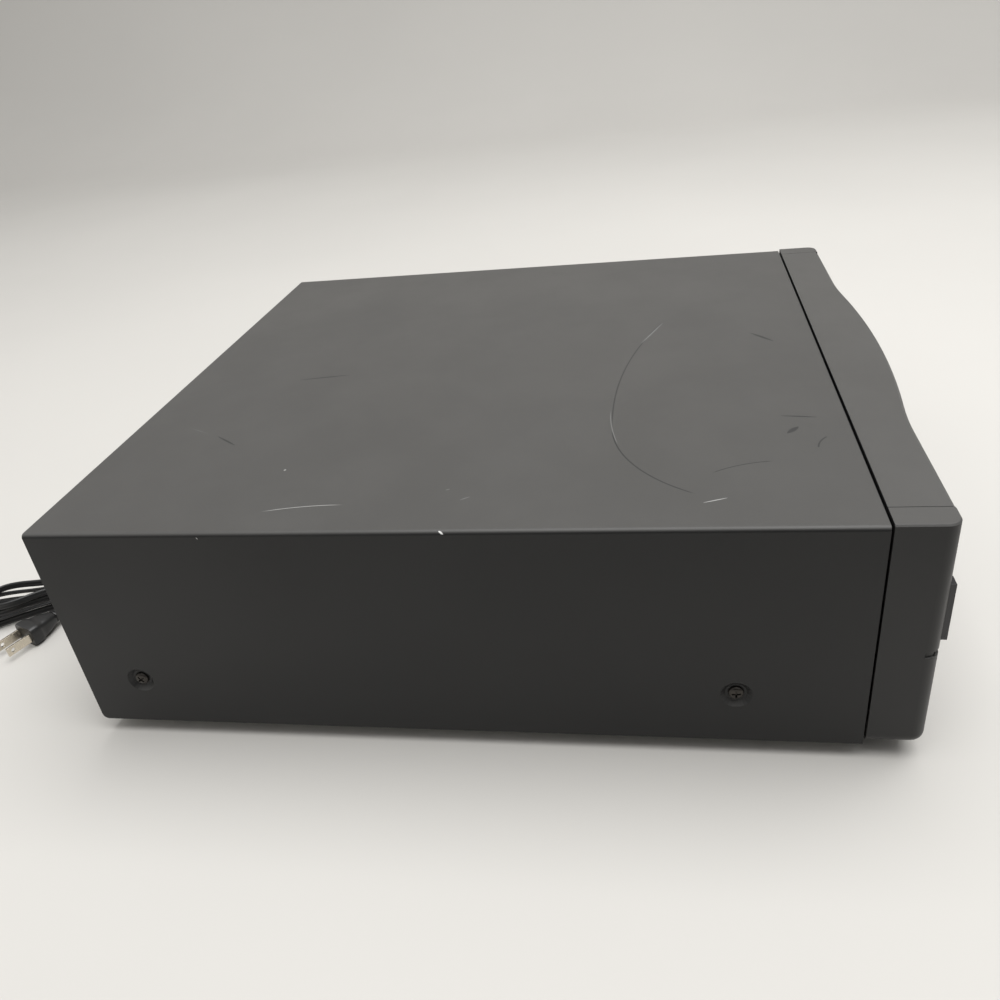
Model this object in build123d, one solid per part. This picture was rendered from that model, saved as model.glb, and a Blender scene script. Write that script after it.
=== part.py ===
import os
from math import acos, atan2, cos, degrees, hypot, pi, radians, sin, tan

from build123d import *

os.makedirs("parts", exist_ok=True)

# Five-disc changer with a front drawer. The floor is z = 0, the front faces -Y, and +X is on the
# right of someone who faces the front. "seam" is the line between the steel cover and the front.

# ---------------------------------------------------------------- case sizes
body_width = 430.0
cover_height = 130.0
cover_depth = 426.0
sheet = 1.0
bend_radius = 2.4
foot_height = 10.0
foot_radius = 20.0
foot_inset_x = 45.0
foot_inset_y = 42.0
seam_gap = 1.2
front_proud = 1.0
front_flat = 29.6
bulge_half = 124.0
bulge_depth = 7.2
bulge_blend = 250.0
cheek_width = 15.0
cheek_corner = 7.0
lower_edge_round = 6.4
panel_wall = 2.5
cheek_inner_wall = 1.4
shelf_height = 56.6
groove_height = 3.7
groove_depth = 1.0
drawer_gap = 0.4
drawer_wall = 2.7
soft_edge = 1.6
dimple_radius = 8.0
dimple_depth = 2.2
dimple_slope = 48.7
screw_height = 31.0
front_screw_y = 62.5
rear_screw_y = 391.4
jack_reach = 9.0
knob_reach = 9.0
knob_radius = 8.0

# ---------------------------------------------------------------- controls
button_proud = 1.2
button_travel = 1.0
button_gap = 0.3
flange_margin = 2.0
flange_thick = 1.5
board_thick = 1.6
board_set_back = 12.4
switch_height = 4.0
switch_plunger = 0.8
side_button_width = 6.8
side_button_height = 32.0
side_button_proud = 3.0
side_button_z = 89.0
side_button_inset = 9.8
window_half = 80.0
window_low = 36.0
window_high = 60.0
phones_x = -182.0
level_x = -150.0
lower_row_z = 28.0
phones_bore = 3.2
phones_depth = 24.0
board_notch = 10.4

# ---------------------------------------------------------------- drawer and carousel
disc_count = 5
disc_pitch_radius = 104.5
well_radius = 61.0
small_well_radius = 41.0
carousel_radius = 172.0
rim_sides = 60
carousel_low = 98.5
carousel_top = 105.0
well_floor = 102.0
small_well_floor = 100.6
slot_half = 23.0
hub_hole = 19.0
hub_radius = 12.8
carousel_y = 168.0
tray_half = 192.0
tray_wall = 3.0
tray_base = 84.0
tray_plate = 2.5
tray_deck_top = 107.0
tray_rear = 236.0
rail_rear = 300.0
rail_low = 73.5
tray_bore_gap = 3.0
track_radius = 146.0
rib_reach = 6.4
rib_low = 92.0
rib_high = 95.0
drawer_travel = 240.0
pivot_radius = 9.95
running = 0.05
clear = 0.3

# ---------------------------------------------------------------- gears
pressure_angle = radians(20.0)
tooth_rise = 0.8
tooth_depth = 1.1
backlash = 0.24
ring_teeth = 38
drive_teeth = 12
ring_module = 2.0
drive_big_teeth = 30
motor_teeth = 10
drive_module = 1.25
rack_module = 2.0
loading_teeth = 15
loading_big_teeth = 36
pulley_teeth = 12
loading_module = 1.5
cam_teeth = 20
cam_module = 1.5
sled_module = 1.0
sled_teeth = 14
sled_big_teeth = 28
sled_motor_teeth = 10

# ---------------------------------------------------------------- frame and lift
frame_floor = 58.0
frame_plate = 3.0
frame_half = 204.0
frame_front = 12.0
frame_rear = 372.0
bridge_top = 120.0
bridge_sheet = 2.0
bridge_half_depth = 24.0
lift_travel = 12.0
cam_run = 20.0
lift_half = 58.0
lift_front = -24.0
lift_rear = 80.0
lift_plate_low = 80.0
lift_plate = 2.5
lift_skirt_low = 75.0
lift_skirt_top = 86.0
sled_travel = 34.0
lens_start = 24.0
rod_x = 17.0
rod_radius = 1.5
rod_z = 78.0
pulley_groove = 18.2
motor_groove = 3.8

# ---------------------------------------------------------------- lead
cord_width = 4.4
cord_thick = 3.2
bushing_x = -95.0
bushing_z = 30.0
bushing_reach = 20.0
hank_x = -90.0
hank_y = 526.0
hank_turn = 25.0
hank_round = 19.2
hank_waist = 0.6
hank_front = 50.0
hank_rear = 94.0
hank_rear_step = 13.0
hank_layers = 4
hank_pitch = 5.0
hank_lift = 1.2
tie_width = 4.0
tie_half = 8.9
tie_thick = 0.9
plug_length = 22.0
plug_neck = 7.0
plug_grip = 9.0
plug_width = 20.0
plug_height = 15.0
blade_length = 17.5

# ---------------------------------------------------------------- places worked out from the sizes
half_width = body_width / 2
underside = foot_height
cover_top = underside + cover_height
front_top = cover_top + front_proud
shelf_top = underside + shelf_height
seam = (front_flat + knob_reach - cover_depth - jack_reach) / 2
rear = seam + cover_depth
chassis_half = half_width - sheet - dimple_depth - 0.1
carousel_centre = seam + carousel_y
play_centre = carousel_centre + disc_pitch_radius
swing = 2 * atan2(bulge_depth, bulge_half)
bulge_radii = bulge_half / sin(swing)
opening_half = half_width - cheek_width
frame_top = bridge_top - bridge_sheet
floor_top = frame_floor + frame_plate


def save(name, shape):
    export_step(shape, os.path.join("parts", name + ".step"))


def span(x0, x1, y0, y1, z0, z1):
    # a plain block between two corners
    centre = Pos((x0 + x1) / 2, (y0 + y1) / 2, (z0 + z1) / 2)
    return centre * Box(abs(x1 - x0), abs(y1 - y0), abs(z1 - z0))


def pillar(x, y, z0, z1, radius, sides=8):
    # an upright moulded or pressed pillar with flat sides
    return Pos(x, y, z0) * extrude(RegularPolygon(radius, sides), z1 - z0)


def bore(x, y, z0, z1, radius, sides=12):
    # an upright hole with flat sides that lie at the radius
    return Pos(x, y, z0) * extrude(RegularPolygon(radius, sides, major_radius=False), z1 - z0)


def bar_y(x, z, y0, y1, radius, sides=12):
    # a bar with flat sides that lies front to back
    return Pos(x, y0, z) * Rot(-90, 0, 0) * extrude(RegularPolygon(radius, sides), y1 - y0)


def bore_y(x, z, y0, y1, radius, sides=12):
    return Pos(x, y0, z) * Rot(-90, 0, 0) * extrude(RegularPolygon(radius, sides, major_radius=False), y1 - y0)


def rod_y(x, z, y0, y1, radius):
    # a cylinder that lies front to back
    return Pos(x, (y0 + y1) / 2, z) * Rot(90, 0, 0) * Cylinder(radius, abs(y1 - y0))


def plate_of(outline, z0, z1):
    # a flat plate with a drawn outline
    return Pos(0, 0, z0) * extrude(make_face(Polyline(*outline, close=True)), z1 - z0)


# ---------------------------------------------------------------- the waved front
def front_region(reach, back, inset, corner=0.0):
    # the plan of everything behind the front's face: flat ends and a shallow wave between them
    flat = seam - front_flat + inset
    hollow = bulge_blend + inset
    crown = bulge_radii - bulge_blend - inset
    dip_x = hollow * sin(swing)
    dip_y = hollow * (1 - cos(swing))
    half_x = hollow * sin(swing / 2)
    half_y = hollow * (1 - cos(swing / 2))
    crest = flat - dip_y - crown * (1 - cos(swing))
    inner = bulge_half - dip_x
    lines = [
        Line((-bulge_half, flat), (-reach + corner, flat)),
        Line((-reach, flat + corner), (-reach, back)),
        Line((-reach, back), (reach, back)),
        Line((reach, back), (reach, flat + corner)),
        Line((reach - corner, flat), (bulge_half, flat)),
        ThreePointArc((bulge_half, flat), (bulge_half - half_x, flat - half_y), (inner, flat - dip_y)),
        ThreePointArc((inner, flat - dip_y), (0, crest), (-inner, flat - dip_y)),
        ThreePointArc((-inner, flat - dip_y), (half_x - bulge_half, flat - half_y), (-bulge_half, flat)),
    ]
    if corner:
        cut = corner * (1 - cos(pi / 4))
        for side in (-1, 1):
            ends = [(side * (reach - corner), flat), (side * reach, flat + corner)]
            lines.append(ThreePointArc(ends[0], (side * (reach - cut), flat + cut), ends[1]))
    return make_face(lines)


def front_slab(reach, back, inset, z0, z1, corner=0.0):
    return Pos(0, 0, z0) * extrude(front_region(reach, back, inset, corner), z1 - z0)


def front_skin(x0, x1, z0, z1, outer, inner):
    # a patch of the waved front between two insets from its face
    deep = span(x0, x1, seam - 60, seam - 5, z0, z1)
    return (front_slab(half_width, seam, outer, z0, z1) - front_slab(half_width, seam, inner, z0, z1)) & deep


def face_y(x, inset=0.0):
    # where the face of the waved front lies at one place across its width
    flat = seam - front_flat + inset
    hollow = bulge_blend + inset
    crown = bulge_radii - bulge_blend - inset
    inner = bulge_half - hollow * sin(swing)
    if abs(x) >= bulge_half:
        return flat
    if abs(x) >= inner:
        along = bulge_half - abs(x)
        return flat - hollow + (hollow**2 - along**2) ** 0.5
    crest = flat - (hollow + crown) * (1 - cos(swing))
    return crest + crown - (crown**2 - x**2) ** 0.5


# ---------------------------------------------------------------- gear teeth
def gear_face(teeth, module):
    # involute teeth, each flank drawn straight from its root to its tip
    pitch = teeth * module / 2
    base = pitch * cos(pressure_angle)
    involute = tan(pressure_angle) - pressure_angle
    half_tooth = (pi * module / 2 - backlash) / (2 * pitch)

    def lean(radius):
        reach = acos(base / radius) if radius > base else 0.0
        return half_tooth + involute - (tan(reach) - reach)

    radii = [pitch - tooth_depth * module, pitch + tooth_rise * module]
    points = []
    for tooth in range(teeth):
        middle = 2 * pi * tooth / teeth
        flank = [(r, middle - lean(r)) for r in radii] + [(r, middle + lean(r)) for r in reversed(radii)]
        points += [(r * cos(a), r * sin(a)) for r, a in flank]
    return make_face(Polyline(*points, close=True))


def gear(teeth, module, z0, z1, toward):
    # "toward" is the direction, in degrees, in which the middle of one tooth points
    return Pos(0, 0, z0) * Rot(0, 0, toward) * extrude(gear_face(teeth, module), z1 - z0)


def rack_bar(length, module, back, first_gap):
    # a straight rack along +X, its teeth to +Y about the line y = 0 and a gap's middle at first_gap
    pitch = pi * module
    low = -tooth_depth * module
    high = tooth_rise * module
    thick = (pitch / 2 - backlash) / 2
    points = [(0, -back), (0, low)]
    middle = first_gap + pitch / 2
    while middle - pitch > pitch / 2:
        middle -= pitch
    while middle < length - pitch / 2:
        for side, height in ((-1, low), (-1, high), (1, high), (1, low)):
            points.append((middle + side * (thick - height * tan(pressure_angle)), height))
        middle += pitch
    points += [(length, low), (length, -back)]
    return make_face(Polyline(*points, close=True))


def button(x, z, width, height, proud=button_proud, margin=flange_margin):
    # a key cap through the panel, a flange behind it and a stem to its switch
    wall = panel_wall + button_gap
    cap = front_skin(x - width / 2, x + width / 2, z - height / 2, z + height / 2, -proud, wall)
    w = width / 2 + margin
    h = height / 2 + flange_margin
    flange = front_skin(x - w, x + w, z - h, z + h, wall, wall + flange_thick)
    stem_end = seam - board_set_back - switch_height - switch_plunger - button_travel - 0.1
    stem = span(x - 2, x + 2, face_y(x) + wall, stem_end, z - 1.5, z + 1.5)
    return cap + flange + stem


def button_hole(x, z, width, height):
    g = button_gap
    return span(x - width / 2 - g, x + width / 2 + g, seam - 60, seam - 20, z - height / 2 - g, z + height / 2 + g)


# name: middle x, middle z, width, height
keys = {
    "play_button": (120.0, 50.0, 25.0, 12.0),
    "pause_button": (151.0, 50.0, 20.0, 12.0),
    "stop_button": (181.0, 50.0, 20.0, 12.0),
    "skip_back_button": (120.0, lower_row_z, 20.0, 9.0),
    "skip_forward_button": (148.0, lower_row_z, 20.0, 9.0),
    "disc_skip_button": (181.0, lower_row_z, 20.0, 9.0),
}
disc_key_pitch = 31.0
for number in range(disc_count):
    place = (number - (disc_count - 1) / 2) * disc_key_pitch
    keys[f"disc_button_{number + 1}"] = (place, lower_row_z - 3.0, 15.0, 7.0)
side_keys = {
    "power_button": -half_width + side_button_inset,
    "open_close_button": half_width - side_button_inset,
}


# ---------------------------------------------------------------- case
def top_cover():
    outer = Pos(0, 0, (underside + cover_top) / 2) * Rot(90, 0, 0) * Rectangle(body_width, cover_height)
    shell = Pos(0, rear, 0) * extrude(outer, cover_depth, dir=(0, -1, 0))
    ridge = shell.edges().filter_by(Axis.Y).group_by(Axis.Z)[-1]
    shell = fillet(ridge, bend_radius)
    inside = span(-half_width + sheet, half_width - sheet, seam - 1, rear + 1, underside - 1, cover_top - sheet)
    top_edges = inside.edges().filter_by(Axis.Y).group_by(Axis.Z)[-1]
    shell = shell - fillet(top_edges, bend_radius - sheet)
    lip = span(-half_width + 4, half_width - 4, rear - sheet, rear, cover_top - 11, cover_top - sheet / 2)
    shell = shell + lip
    low_rear = shell.edges().filter_by(Axis.X).filter_by(
        lambda e: e.center().Y > rear - 1 and e.center().Z < underside + 1
    )
    shell = fillet(low_rear, 3.5)
    for side in (-1, 1):
        for y in (seam + front_screw_y, seam + rear_screw_y):
            z = underside + screw_height
            place = Pos(side * half_width, y, z) * Rot(0, side * 90, 0)
            inward = place * Rot(180, 0, 0)
            dish = inward * extrude(RegularPolygon(dimple_radius, 24), dimple_depth, taper=dimple_slope)
            boss = RegularPolygon(dimple_radius + 0.3, 24)
            boss = inward * Pos(0, 0, sheet) * extrude(boss, dimple_depth, taper=dimple_slope)
            hole = place * Pos(0, 0, -6) * extrude(RegularPolygon(2.2, 8), 12)
            shell = shell + boss - dish - hole
    for x in (-150, 150):
        shell = shell - bar_y(x, cover_top - 6, rear - 3, rear + 3, 2.2, 8)
    return shell


def bottom_chassis():
    low = underside
    tall = underside + 46
    pan = span(-chassis_half, chassis_half, seam + 2, rear - 1.4, low, tall)
    pan = pan - span(-chassis_half + sheet, chassis_half - sheet, seam + 3, rear + 1, low + sheet, tall + 1)
    front_window = span(-150, 150, seam, seam + 5, low + 14, tall + 1)
    pan = pan - front_window
    for x in (-90, 0, 90):
        outer = [(x - 8, low + sheet), (x - 5, low + sheet + 3), (x + 5, low + sheet + 3), (x + 8, low + sheet)]
        bead = extrude(make_face(Polyline(*[(p, seam + 60, q) for p, q in outer], close=True)), 170, dir=(0, 1, 0))
        inner = [(x - 7.2, low), (x - 4.5, low + 3), (x + 4.5, low + 3), (x + 7.2, low)]
        groove = extrude(make_face(Polyline(*[(p, seam + 61, q) for p, q in inner], close=True)), 168, dir=(0, 1, 0))
        pan = pan + bead - groove
    for x, y in board_posts():
        pan = pan + pillar(x, y, low + sheet / 2, low + 8, 3.0)
    for side in (-1, 1):
        for y in (seam + front_screw_y, seam + rear_screw_y):
            hole = Pos(side * (chassis_half - 3), y, underside + screw_height) * Rot(0, side * 90, 0)
            pan = pan - hole * extrude(RegularPolygon(2.2, 6), 6)
    return pan


def foot_places():
    x = half_width - foot_inset_x
    return [(side * x, y) for side in (-1, 1) for y in (seam + foot_inset_y, rear - foot_inset_y)]


def board_posts():
    return [(x, y) for x in (-178, -40) for y in (seam + 258, seam + 400)]


def feet():
    foot = pillar(0, 0, 0, foot_height, foot_radius, 16) - pillar(0, 0, -1, 1.5, foot_radius - 7, 12)
    return Compound([Pos(x, y, 0) * foot for x, y in foot_places()])


def rear_panel():
    half = chassis_half - sheet - 0.2
    low = underside + sheet
    high = cover_top - sheet - 0.1
    face = rear - sheet - 0.1
    wall = span(-half, half, face - 14, face, low, high)
    wall = wall - span(-half + sheet, half - sheet, face - 20, face - sheet, low - 1, high - sheet)
    wall = wall - bore_y(bushing_x, bushing_z, face - 5, face + 5, 6.4, 16)
    wall = wall - span(jack_x - 29, jack_x + 17, face - 5, face + 5, jack_z - 8, jack_z + 8)
    for x in (-150, 150):
        wall = wall - Pos(x, face - 3, cover_top - 6) * Rot(-90, 0, 0) * extrude(RegularPolygon(2.2, 6), 6)
    return wall


jack_x = 118.0
jack_z = 40.0
jack_pitch = 14.0


def output_jacks():
    face = rear - sheet - 0.1
    strip = span(jack_x - 31, jack_x + 19, face, face + 1.5, jack_z - 10, jack_z + 10)
    strip = strip + span(jack_x - 28.5, jack_x + 16.5, face - 12, face, jack_z - 7.5, jack_z + 7.5)
    for x in (jack_x - jack_pitch / 2, jack_x + jack_pitch / 2):
        tip = rear + jack_reach
        strip = strip + rod_y(x, jack_z, face + 1, tip, 4.15)
        strip = strip - bar_y(x, jack_z, tip - 7.5, tip + 1, 1.6, 8)
    port = span(jack_x - 27, jack_x - 17, face + 1, face + 4, jack_z - 5, jack_z + 5)
    return strip + chamfer(port.edges().group_by(Axis.Y)[-1], 1)


def cross_screw(head, shank, length):
    # pan head up, its seat at z = 0
    body = pillar(0, 0, 0, 1.9, head, 12) + pillar(0, 0, -length, 0.5, shank, 6)
    recess = Pos(0, 0, 1.6) * Box(0.9, head * 1.1, 1.4) + Pos(0, 0, 1.6) * Box(head * 1.1, 0.9, 1.4)
    return body - recess


def cover_screws():
    screws = []
    for side in (-1, 1):
        for y in (seam + front_screw_y, seam + rear_screw_y):
            seat = Pos(side * (half_width - dimple_depth), y, underside + screw_height) * Rot(0, side * 90, 0)
            screws.append(seat * cross_screw(4.0, 2.0, 6))
    for x in (-150, 150):
        screws.append(Pos(x, rear, cover_top - 6) * Rot(-90, 0, 0) * cross_screw(3.4, 2.0, 6))
    return Compound(screws)


def front_panel():
    back = seam - seam_gap
    w = panel_wall
    shell = front_slab(half_width, back, 0, underside, front_top, cheek_corner)
    lower = shell.edges().group_by(Axis.Z)[0].filter_by(lambda e: e.center().Y < back - 4)
    shell = fillet(lower, lower_edge_round)
    shell = shell - span(-opening_half, opening_half, seam - 60, seam, shelf_top, front_top + 1)
    upper = shell.edges().group_by(Axis.Z)[-1].filter_by(lambda e: e.center().Y < back - 1)
    upper = upper.filter_by(lambda e: abs(e.center().X) > opening_half + 1)
    shell = chamfer(upper, soft_edge / 2)
    hollow = front_slab(half_width - w, seam, w, underside + w, shelf_top - w, cheek_corner - w)
    shell = shell - hollow
    inner = opening_half + cheek_inner_wall
    for side in (-1, 1):
        cheek = span(side * inner, side * (half_width - w), seam - front_flat + w, seam, underside + w, front_top - w)
        groove = span(side * opening_half, side * 230, seam - 60, seam - 22, shelf_top, shelf_top + groove_height)
        groove = groove - front_slab(half_width - groove_depth, seam, groove_depth, 0, 200, cheek_corner - groove_depth)
        shell = shell - cheek - groove
    shell = shell - span(-window_half, window_half, seam - 60, seam - 20, window_low, window_high)
    for x, z, width, height in keys.values():
        shell = shell - button_hole(x, z, width, height)
    for x in side_keys.values():
        shell = shell - button_hole(x, side_button_z, side_button_width, side_button_height)
    shell = shell - bore_y(phones_x, lower_row_z, seam - 60, seam - 20, 5.6, 24)
    shell = shell - bore_y(level_x, lower_row_z, seam - 60, seam - 20, 4.0 + running, 16)
    board = seam - board_set_back
    for x, z in panel_posts():
        stub = span(x - 2, x + 2, seam - 60, board, z - 2, z + 2)
        shell = shell + (stub & front_slab(half_width, seam, w / 2, 0, 200))
    for x in (-196, -75, 75, 196):
        boss = span(x - 3, x + 3, seam - 60, seam + 2, underside + w / 2, underside + 9)
        shell = shell + (boss & front_slab(half_width, seam + 2, w / 2, 0, 200))
    return shell


def panel_posts():
    return [(x, z) for x in (-98, 98, -196, 196) for z in (61.5,)]


def display_window():
    g = 0.2
    pane = front_skin(-window_half + g, window_half - g, window_low + g, window_high - g, 0.4, panel_wall + 0.1)
    flange = front_skin(-window_half - 3, window_half + 3, window_low - 3, window_high + 1, panel_wall + 0.1, 4.0)
    return pane + flange


def display_module():
    front = seam - 28.5
    glass = span(-72, 72, front, front + 6, 38, 58.5)
    holder = span(-66, 66, front + 6, seam - board_set_back, 41, 56)
    return glass + holder


def control_board():
    back = seam - board_set_back + board_thick
    front = seam - board_set_back
    ear = opening_half + cheek_inner_wall + 0.6
    wide = half_width - panel_wall - 0.6
    low = underside + 10
    high = shelf_top - panel_wall - 0.4
    outline = [(-wide, low), (wide, low), (wide, 106), (ear, 106), (ear, high), (-ear, high), (-ear, 106), (-wide, 106)]
    face = make_face(Polyline(*[(x, back, z) for x, z in outline], close=True))
    board = extrude(face, board_thick, dir=(0, -1, 0))
    board = board - rod_y(phones_x, lower_row_z, front - 1, back + 1, board_notch)
    places = [(x, z) for x, z, width, height in keys.values()]
    places += [(x, side_button_z) for x in side_keys.values()]
    for x, z in places:
        half = 2.6
        base = span(x - half, x + half, front, front - switch_height, z - half, z + half)
        tip = front - switch_height - switch_plunger
        board = board + base + span(x - 1.2, x + 1.2, tip, front - switch_height, z - 1.2, z + 1.2)
    pot = span(level_x - 6, level_x + 6, front, front - 7, lower_row_z - 6, lower_row_z + 6)
    return board + pot


def phones_jack():
    wall = seam - front_flat + panel_wall
    collar = rod_y(phones_x, lower_row_z, seam - front_flat - 0.6, wall, 5.5)
    body = span(phones_x - 7, phones_x + 7, wall, seam + 0.5, lower_row_z - 7, lower_row_z + 7)
    bore = rod_y(phones_x, lower_row_z, seam - 40, seam - front_flat - 0.6 + phones_depth, phones_bore)
    return collar + body - bore


def level_knob():
    face = seam - front_flat
    front = face - knob_reach
    knob = bar_y(level_x, lower_row_z, front, face - 0.6, knob_radius, 24)
    knob = chamfer(knob.faces().sort_by(Axis.Y)[0].edges(), 0.8)
    knob = knob + bar_y(level_x, lower_row_z, face - 1, seam - board_set_back - 7.3, 4.0, 16)
    line = span(level_x - 0.5, level_x + 0.5, front - 1, front + 0.6, lower_row_z + 2.5, lower_row_z + 7)
    return knob - line


# ---------------------------------------------------------------- drawer
def drawer_front():
    reach = opening_half - drawer_gap
    back = seam - seam_gap
    low = shelf_top + 1.5
    shell = front_slab(reach, back, 0, low, front_top)
    upper = shell.edges().group_by(Axis.Z)[-1].filter_by(lambda e: e.center().Y < back - 1)
    upper = upper.filter_by(lambda e: abs(e.center().X) < reach - 1)
    shell = chamfer(upper, soft_edge)
    w = drawer_wall
    shell = shell - front_slab(reach - w, seam, w, low + w, front_top - w)
    shell = shell - span(-tray_half - 1, tray_half + 1, seam - front_flat + w, seam, low - 1, low + w + 1)
    rebate = span(-reach, reach, seam - 60, seam - 20, low - 1, shelf_top + groove_height)
    rebate = rebate - front_slab(half_width, seam, groove_depth, low - 1, shelf_top + groove_height)
    return shell - rebate


def drawer_tray():
    front = seam - front_flat + drawer_wall
    stop = seam + tray_rear
    end = seam + rail_rear
    top = tray_deck_top
    ring = carousel_radius + tray_bore_gap
    plate = span(-tray_half, tray_half, front, stop, tray_base, tray_base + tray_plate)
    deck = span(-tray_half, tray_half, front, stop, top - tray_plate, top)
    well = pillar(0, carousel_centre, tray_base - 1, top + 1, ring, rim_sides)
    deck = deck - well
    wall = pillar(0, carousel_centre, tray_base, top, ring + 2.5, rim_sides) - well
    wall = wall & span(-tray_half, tray_half, front, stop, tray_base, top)
    tray = plate + deck + wall
    tray = tray + span(-tray_half, tray_half, front, front + 2.5, rail_low, top)
    for side in (-1, 1):
        tray = tray + span(side * (tray_half - tray_wall), side * tray_half, front, end, rail_low, top)
        tray = tray + span(side * tray_half, side * (tray_half + rib_reach), seam, end, rib_low, rib_high)
    pitch_line = -tray_half + tray_wall + tooth_depth * rack_module
    start = loading_y - 10
    length = drawer_travel + 22
    rack = rack_bar(length, rack_module, tooth_depth * rack_module + 1, loading_y - start)
    rack = Pos(pitch_line, start, rail_low) * Rot(0, 0, 90) * Rot(180, 0, 0) * extrude(rack, -8)
    tray = tray + rack
    tray = tray + pillar(0, carousel_centre, tray_base, carousel_top - 1, pivot_radius, 24)
    tray = tray - pillar(0, carousel_centre, carousel_top - 12, carousel_top + 1, 5.0)
    for turn in (20, 160, 220, 320):
        pad = span(track_radius, track_radius + 4, -6, 6, tray_base + 1, carousel_low - clear)
        tray = tray + Pos(0, carousel_centre, 0) * Rot(0, 0, turn) * pad
    tray = tray + pillar(*drive_place, tray_base, carousel_low - 1.0, 2.5, 12)
    tray = tray - pillar(*motor_place, tray_base - 1, tray_base + 5, 3.2)
    return tray


loading_y = seam + 44.0
loading_x = -tray_half + tray_wall + tooth_depth * rack_module + loading_teeth * rack_module / 2
drive_gap = (ring_teeth + drive_teeth) * ring_module / 2
motor_gap = (drive_big_teeth + motor_teeth) * drive_module / 2
drive_angle = 225.0
drive_place = (
    drive_gap * cos(radians(drive_angle)),
    carousel_centre + drive_gap * sin(radians(drive_angle)),
)
motor_place = (
    (drive_gap + motor_gap) * cos(radians(drive_angle)),
    carousel_centre + (drive_gap + motor_gap) * sin(radians(drive_angle)),
)
gear_low = tray_base + tray_plate + 0.5
big_gear_top = gear_low + 2.9
ring_low = big_gear_top + 0.6


def carousel():
    plate = pillar(0, 0, carousel_low, carousel_top, carousel_radius, rim_sides)
    well = pillar(disc_pitch_radius, 0, well_floor, carousel_top + 1, well_radius, 30)
    well = well + pillar(disc_pitch_radius, 0, small_well_floor, carousel_top, small_well_radius, 20)
    reach = carousel_radius + 5
    slot = span(disc_pitch_radius, reach, -slot_half, slot_half, carousel_low - 1, carousel_top + 1)
    slot = slot + pillar(disc_pitch_radius, 0, carousel_low - 1, carousel_top, hub_hole, 12)
    for number in range(disc_count):
        turn = 90 + number * 360 / disc_count
        plate = plate - Rot(0, 0, turn) * well - Rot(0, 0, turn) * slot
    plate = plate + gear(ring_teeth, ring_module, ring_low, carousel_low + 0.5, drive_angle)
    plate = plate - bore(0, 0, tray_base, carousel_top + 1, pivot_radius + running, 24)
    return Pos(0, carousel_centre, 0) * plate


def carousel_cap():
    base = carousel_top + clear
    cap = pillar(0, 0, base, base + 2.5, 30, 36) + pillar(0, 0, base - 10, base + 1, 4.95)
    return Pos(0, carousel_centre, 0) * cap


def carousel_drive_gear():
    small = gear(drive_teeth, ring_module, big_gear_top - 0.5, carousel_low - 0.5, drive_angle + 180 / drive_teeth)
    big = gear(drive_big_teeth, drive_module, gear_low, big_gear_top, drive_angle)
    wheel = small + big - bore(0, 0, gear_low - 1, carousel_low + 1, 2.5 + running)
    return Pos(*drive_place, 0) * wheel


def carousel_motor_pinion():
    wheel = gear(motor_teeth, drive_module, gear_low, big_gear_top, drive_angle + 180 + 180 / motor_teeth)
    return Pos(*motor_place, 0) * (wheel - bore(0, 0, gear_low - 1, big_gear_top + 1, 1.0 + running, 8))


def carousel_motor():
    low = tray_base - 15.5
    x, y = motor_place
    return pillar(x, y, low, tray_base, 14, 20) + pillar(x, y, tray_base - 1, big_gear_top + 0.3, 1)


# ---------------------------------------------------------------- loading mechanism
pulley_gap = (loading_big_teeth + pulley_teeth) * loading_module / 2
pulley_place = (loading_x + pulley_gap, loading_y)
loading_motor_place = (pulley_place[0] + 48.0, loading_y)
pulley_low = floor_top + 1.0
pulley_top = pulley_low + 4.5
loading_low = pulley_top + 1.0
loading_top = rail_low - clear - 0.6


def loading_gear():
    big = gear(loading_big_teeth, loading_module, loading_low, loading_top, 0)
    small = gear(loading_teeth, rack_module, loading_top - 0.5, rail_low + 7.6, 180)
    sleeve = pillar(0, 0, floor_top + 0.4, loading_low + 1, 5)
    wheel = big + small + sleeve - bore(0, 0, floor_top, rail_low + 10, 2.5 + running)
    return Pos(loading_x, loading_y, 0) * wheel


def grooved(radius, sides):
    # a flat belt's pulley with a rim at each side
    rims = pillar(0, 0, pulley_low, pulley_low + 0.7, radius + 1.8, sides)
    rims = rims + pillar(0, 0, pulley_top - 0.7, pulley_top, radius + 1.8, sides)
    return rims + pillar(0, 0, pulley_low, pulley_top, radius, sides)


def pulley_gear():
    small = gear(pulley_teeth, loading_module, pulley_top - 0.5, loading_top + 0.3, 180 + 180 / pulley_teeth)
    wheel = grooved(pulley_groove, 32) + small - bore(0, 0, floor_top, loading_top + 2, 2.0 + running)
    return Pos(*pulley_place, 0) * wheel


def motor_pulley():
    wheel = grooved(motor_groove, 16) - bore(0, 0, floor_top, pulley_top + 1, 1.0 + running, 8)
    return Pos(*loading_motor_place, 0) * wheel


def belt_face(grow):
    # the area inside a belt round both pulleys, each wrapped part drawn with short flats
    span_length = loading_motor_place[0] - pulley_place[0]
    big = pulley_groove + grow
    small = motor_groove + grow
    lean = acos((big - small) / span_length)
    points = []
    for flat in range(9):
        turn = lean - 2 * lean * flat / 8
        points.append((span_length + small * cos(turn), small * sin(turn)))
    for flat in range(17):
        turn = -lean - (2 * pi - 2 * lean) * flat / 16
        points.append((big * cos(turn), big * sin(turn)))
    return make_face(Polyline(*points, close=True))


def loading_belt():
    low = pulley_low + 1.1
    thick = pulley_top - pulley_low - 2.2
    ring = extrude(belt_face(clear + 1.3), thick) - extrude(belt_face(clear), thick)
    return Pos(*pulley_place, low) * ring


def loading_motor():
    x, y = loading_motor_place
    return pillar(x, y, frame_floor - 24, frame_floor, 12, 20) + pillar(x, y, frame_floor - 1, pulley_top + 0.4, 1)


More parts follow.
